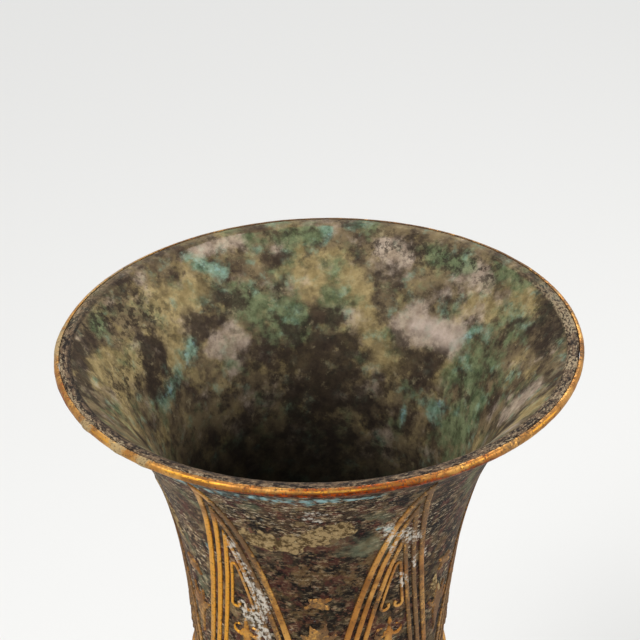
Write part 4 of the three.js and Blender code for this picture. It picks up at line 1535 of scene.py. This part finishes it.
def make_waist():
    """Outer radius = joint - ground + bulge times swelling; inner = socket + a lesser bulge."""
    outer = np.linspace(waist_low, waist_top, WAIST_ROWS)
    inner = np.linspace(waist_top, waist_low, WAIST_INNER_ROWS)
    inner_bulge = WAIST_BULGE - WALL + joint_radius - socket_radius
    radius = np.concatenate([
        joint_radius - GROUND_DEPTH + WAIST_BULGE * swelling(outer, waist_land),
        socket_radius + inner_bulge * swelling(inner, SOCKET_DEPTH)])
    z = np.concatenate([outer, inner])
    points = turned(radius, z, WAIST_SIDES)
    side = np.repeat([1, 0], [len(outer), len(inner)])[:, None]
    relief = np.zeros(points.shape[:2])
    angle = np.broadcast_to(around(WAIST_SIDES), (len(outer), WAIST_SIDES))
    relief[:len(outer)] = waist_relief(angle, outer[:, None])
    lift = side * (relief + dents(points) + wear(points, WAIST_WEAR))
    points = raised(points, radius, z, lift)
    crowns = np.maximum(smoothstep(relief, 0.55, 0.95), 0.62 * smoothstep(relief, 0.2, 0.45))
    low_ground = 1 - smoothstep(relief, 0.1, 0.6)
    return skin(
        "waist_drum_cast", points, loop=True,
        rub=crowns * (0.45 + 0.55 * clouds(points, 14.0, 102)),
        hollow=side * (1 - smoothstep(relief, 0.05, 0.4)),
        khaki=blotches(points, 16.0, 103, 0.55, 0.75) * low_ground * KHAKI_SHARE,
        inside=1.0 - side, soot=WAIST_INSIDE_SHADE * (1.0 - side), **weathering(points))


waist = dress("waist_drum", make_waist(), PATINA)
print("waist:", len(waist.data.polygons), "faces")

# %% [markdown]
# The foot spreads like an upside-down trumpet and carries the pendent blades. Its shoulder has the neck's
# frieze once more, and an upright finial with curls stands in low relief between two blades.

# %% Relief of the foot
FOOT_RELIEF = 0.5
FOOT_FRIEZE_MARGIN = 0.8
FOOT_FRIEZE_FADE = 0.4
FOOT_FRIEZE_TOP = 2.2
FOOT_SPIRAL_CELL = (6.9, 6.0)
FOOT_SPIRAL_PITCH = 1.9
FINIAL_LEVEL = 36.0
FINIAL_STROKES = [
    stroke([(0, -19), (0, -4)], 1.9, 1.1),
    stroke([(0, -4), (0, 9)], 1.4, 0.3),
    curl(5.6, -14.0, 4.2, 205, -95, 1.6, 0.8),
    curl(4.0, -3.4, 2.8, 205, -95, 1.3, 0.6),
]
frieze_foot = foot_base + FOOT_FRIEZE_MARGIN


def foot_band(z):
    """1 between the feet of the blades and the collar, fading at its margins."""
    above = smoothstep(z, frieze_foot, frieze_foot + FOOT_FRIEZE_FADE)
    return above * smoothstep(shoulder - FOOT_FRIEZE_TOP - z, 0, FOOT_FRIEZE_FADE)


def foot_relief(angle, z):
    """A spiral frieze under the shoulder, and a mirrored finial in each gap between two pendent blades."""
    cells = squared_spirals(angle * joint_radius, z - frieze_foot, *FOOT_SPIRAL_CELL, FOOT_SPIRAL_PITCH)
    gap = np.abs((angle + blade_pitch / 2) % blade_pitch - blade_pitch / 2) * foot_outside(z)
    finials = smoothstep(depth_inside(gap, z - FINIAL_LEVEL, FINIAL_STROKES), -0.1, 0.5)
    return FOOT_RELIEF * np.maximum(foot_band(z) * cells, finials)


print("strokes in half a finial:", len(FINIAL_STROKES))

# %% [markdown]
# The foot is hollow, so one closed grid goes up its outside and down its inside. Its spigots reach up into
# the waist and down into the standing ring.

# %% Foot
FOOT_SIDES = 600
FOOT_ROWS = 112
FOOT_INNER_ROWS = 36
RING_SPIGOT = 5.0
FOOT_SPIGOT_STEP = 0.1
FOOT_WEAR = (0.12, 2.2, 111)
# Painted shade on the foot's hidden inside.
FOOT_INSIDE_SHADE = 0.6
ring_spigot = skirt_radius - WALL + SPIGOT_WALL


def make_foot():
    """The ring's spigot, the skirt's outside, the waist's spigot and the skirt's inside, as one loop."""
    outer = np.linspace(skirt_base, shoulder, FOOT_ROWS)
    inner = np.linspace(shoulder, skirt_base, FOOT_INNER_ROWS)
    spigot = spigot_inside + SPIGOT_WALL
    radius = np.concatenate([
        [ring_spigot, ring_spigot], foot_outside(outer), [spigot, spigot, spigot_inside],
        foot_inside(inner), [skirt_radius - WALL]])
    z = np.concatenate([
        [skirt_base - RING_SPIGOT, skirt_base - FOOT_SPIGOT_STEP], outer,
        [shoulder + FOOT_SPIGOT_STEP, shoulder + SPIGOT_LENGTH, shoulder + SPIGOT_LENGTH],
        inner, [skirt_base - RING_SPIGOT]])
    side = np.repeat([0, 1, 0, -1, 0], [2, len(outer), 3, len(inner), 1])[:, None]
    points = turned(radius, z, FOOT_SIDES)
    relief = np.zeros(points.shape[:2])
    angle = np.broadcast_to(around(FOOT_SIDES), (len(outer), FOOT_SIDES))
    relief[2:2 + len(outer)] = foot_relief(angle, np.broadcast_to(outer[:, None], angle.shape))
    lift = relief + side * dents(points) + wear(points, FOOT_WEAR) * np.abs(side)
    points = raised(points, radius, z, lift)
    hidden = (side < 0) * 1.0
    return skin(
        "foot_skirt_cast", points, loop=True,
        rub=smoothstep(relief, 0.2, 0.5) * (0.35 + 0.6 * clouds(points, 12.0, 113)),
        khaki=blotches(points, 18.0, 112, 0.55, 0.78) * KHAKI_SHARE,
        hollow=foot_band(z)[:, None] * (side > 0) * (1 - smoothstep(relief, 0.1, 0.4)),
        inside=hidden, soot=FOOT_INSIDE_SHADE * hidden, **weathering(points))


foot = dress("foot_skirt", make_foot(), PATINA)
print("foot:", len(foot.data.polygons), "faces")

# %% [markdown]
# The vase stands on an upright ring with rounded corners, flat underneath, into which the skirt is let. Its
# own floor is a slightly dished disc that lies on the foot's spigot inside the waist and closes the vessel.

# %% Standing ring and floor of the vase
RING_CORNER = 0.7
RING_ROWS = 16
RING_WEAR = ((0.3, 9.0, 121), (0.14, 1.8, 122))
FLOOR_THICKNESS = 2.4
DISC_SIDES = 160
DISC_ROWS = 24
DISC_CAP = 0.4
DISC_DISH = 0.4
DISC_WEAR = (0.15, 5.0, 131)
# Painted shade on the vessel's floor, deep inside.
DISC_SHADE = 0.55


def make_standing_ring():
    """A turned ring with rounded corners, from the ground up to the skirt, worn between its two faces."""
    inside = ring_spigot + SEAT_GAP
    corner = arc(0, 0, RING_CORNER, 0, math.pi / 2, steps=6)
    upright = np.linspace(RING_CORNER, ring_height - RING_CORNER, RING_ROWS)
    radius = np.concatenate([
        [inside], foot_radius - RING_CORNER + corner[::-1, 0], np.full(RING_ROWS, foot_radius),
        foot_radius - RING_CORNER + corner[:, 0], [inside]])
    z = np.concatenate([
        [0], RING_CORNER - corner[::-1, 1], upright, ring_height - RING_CORNER + corner[:, 1], [ring_height]])
    points = turned(radius, z, FOOT_SIDES)
    worn = smoothstep(points[..., 2], 0.5, 3) * smoothstep(ring_height - points[..., 2], 0, 1)
    points = raised(points, radius, z, worn * wear(points, *RING_WEAR))
    return skin(
        "foot_ring_worn", points, loop=True,
        rub=0.55 * smoothstep(points[..., 2], ring_height - 1.2, ring_height - 0.3),
        khaki=blotches(points, 13.0, 123, 0.58, 0.8) * KHAKI_SHARE, **weathering(points))


def make_floor_disc():
    """A disc from its middle below, round the rim, to its middle above: dish = depth (1 - (r / reach)^2)."""
    under = shoulder + SPIGOT_LENGTH + SEAT_GAP
    reach = socket_radius - SEAT_GAP
    steps = np.linspace(DISC_CAP, reach, DISC_ROWS)
    dish = DISC_DISH * (1 - (steps / reach) ** 2)
    z = np.concatenate([under + dish, under + FLOOR_THICKNESS - dish[::-1]])
    points = turned(np.concatenate([steps, steps[::-1]]), z, DISC_SIDES)
    points[..., 2] += wear(points, DISC_WEAR)
    khaki = blotches(points, 14, 132, 0.5, 0.7)
    return skin("vessel_floor_disc", points, inside=1.0, soot=DISC_SHADE, khaki=khaki)


dress("foot_ring", make_standing_ring(), PATINA)
dress("vessel_floor", make_floor_disc(), PATINA)
print("standing ring and floor are in place")

# %% [markdown]
# The stage is a plain pale floor in an even glow. To the camera and in reflections, floor and room are near
# white, so that the metal has something bright to mirror, while the glow that lights the vase stays low.

# %% Floor and room
PALE = (0.80, 0.80, 0.79, 1.0)
ROOM_GLOW = 0.42
FLOOR_HALF = 6000.0
FLOOR_FADE = (300.0, 1200.0)
FLOOR_ROUGHNESS = 0.9


def seen_directly(nodes):
    """1 for rays that come from the camera, a mirror or glass, and 0 for rays that only carry light."""
    path = nodes.node("ShaderNodeLightPath", output="Is Camera Ray")
    rays = path.socket.node
    mirrored = Tap(nodes, rays.outputs["Is Glossy Ray"]) + Tap(nodes, rays.outputs["Is Transmission Ray"])
    return nodes.rise(path + mirrored, 0.0, 1.0)


def make_floor():
    """A flat square of pale paint that goes over into the room's white with the distance from the vase."""
    corners = np.array([(-1, -1, 0), (1, -1, 0), (1, 1, 0), (-1, 1, 0)]) * FLOOR_HALF * MM
    mesh = bpy.data.meshes.new("pale_floor")
    mesh.from_pydata(corners.tolist(), [], [(0, 1, 2, 3)])
    floor = bpy.data.objects.new("pale_floor", mesh)
    bpy.context.scene.collection.objects.link(floor)
    paint = Nodes(bpy.data.materials.new("pale_floor"))
    lit = paint.node("ShaderNodeBsdfPrincipled", {}, {"Base Color": PALE, "Roughness": FLOOR_ROUGHNESS})
    glow = paint.node("ShaderNodeEmission", {}, {"Color": PALE, "Strength": 1.0})
    place = paint.node("ShaderNodeTexCoord", output="Object")
    distance = paint.node("ShaderNodeVectorMath", {"operation": "LENGTH"}, {0: place}, output="Value")
    far = paint.rise(distance, FLOOR_FADE[0] * MM, FLOOR_FADE[1] * MM) * seen_directly(paint)
    shader = paint.node("ShaderNodeMixShader", {}, {0: far, 1: lit, 2: glow})
    paint.node("ShaderNodeOutputMaterial", {}, {"Surface": shader})
    mesh.materials.append(paint.owner)


def make_room():
    """A world that glows fully where it is seen and less where it only lights the vase."""
    room = Nodes(bpy.data.worlds.new("studio_room"))
    bpy.context.scene.world = room.owner
    strength = ROOM_GLOW + (1 - ROOM_GLOW) * seen_directly(room)
    glow = room.node("ShaderNodeBackground", {}, {"Color": PALE, "Strength": strength})
    room.node("ShaderNodeOutputWorld", {}, {"Surface": glow})


make_floor()
make_room()
print("floor and room are in place")

# %% [markdown]
# Three soft lamps light the vase, each a square that faces the mouth: a large one high on the left, a
# smaller one on the right and one behind.

# %% Lamps
LAMPS = [
    ("key_lamp", (-700, -650, 1150), 600, 13.5),
    ("side_lamp", (900, -250, 800), 450, 6.5),
    ("back_lamp", (150, 900, 1000), 500, 5),
]


def lamp(name, place, size, watts):
    """A square area lamp at a place, turned towards the mouth; lengths in millimetres."""
    light = bpy.data.lights.new(name, "AREA")
    light.size = size * MM
    light.energy = watts
    fixture = bpy.data.objects.new(name, light)
    fixture.location = np.array(place) * MM
    direction = mathutils.Vector(mouth_centre - np.array(place))
    fixture.rotation_euler = direction.to_track_quat("-Z", "Y").to_euler()
    bpy.context.scene.collection.objects.link(fixture)


for name, place, size, watts in LAMPS:
    lamp(name, place, size, watts)
bpy.context.scene.view_settings.view_transform = "Standard"
print("lamps:", len(LAMPS))
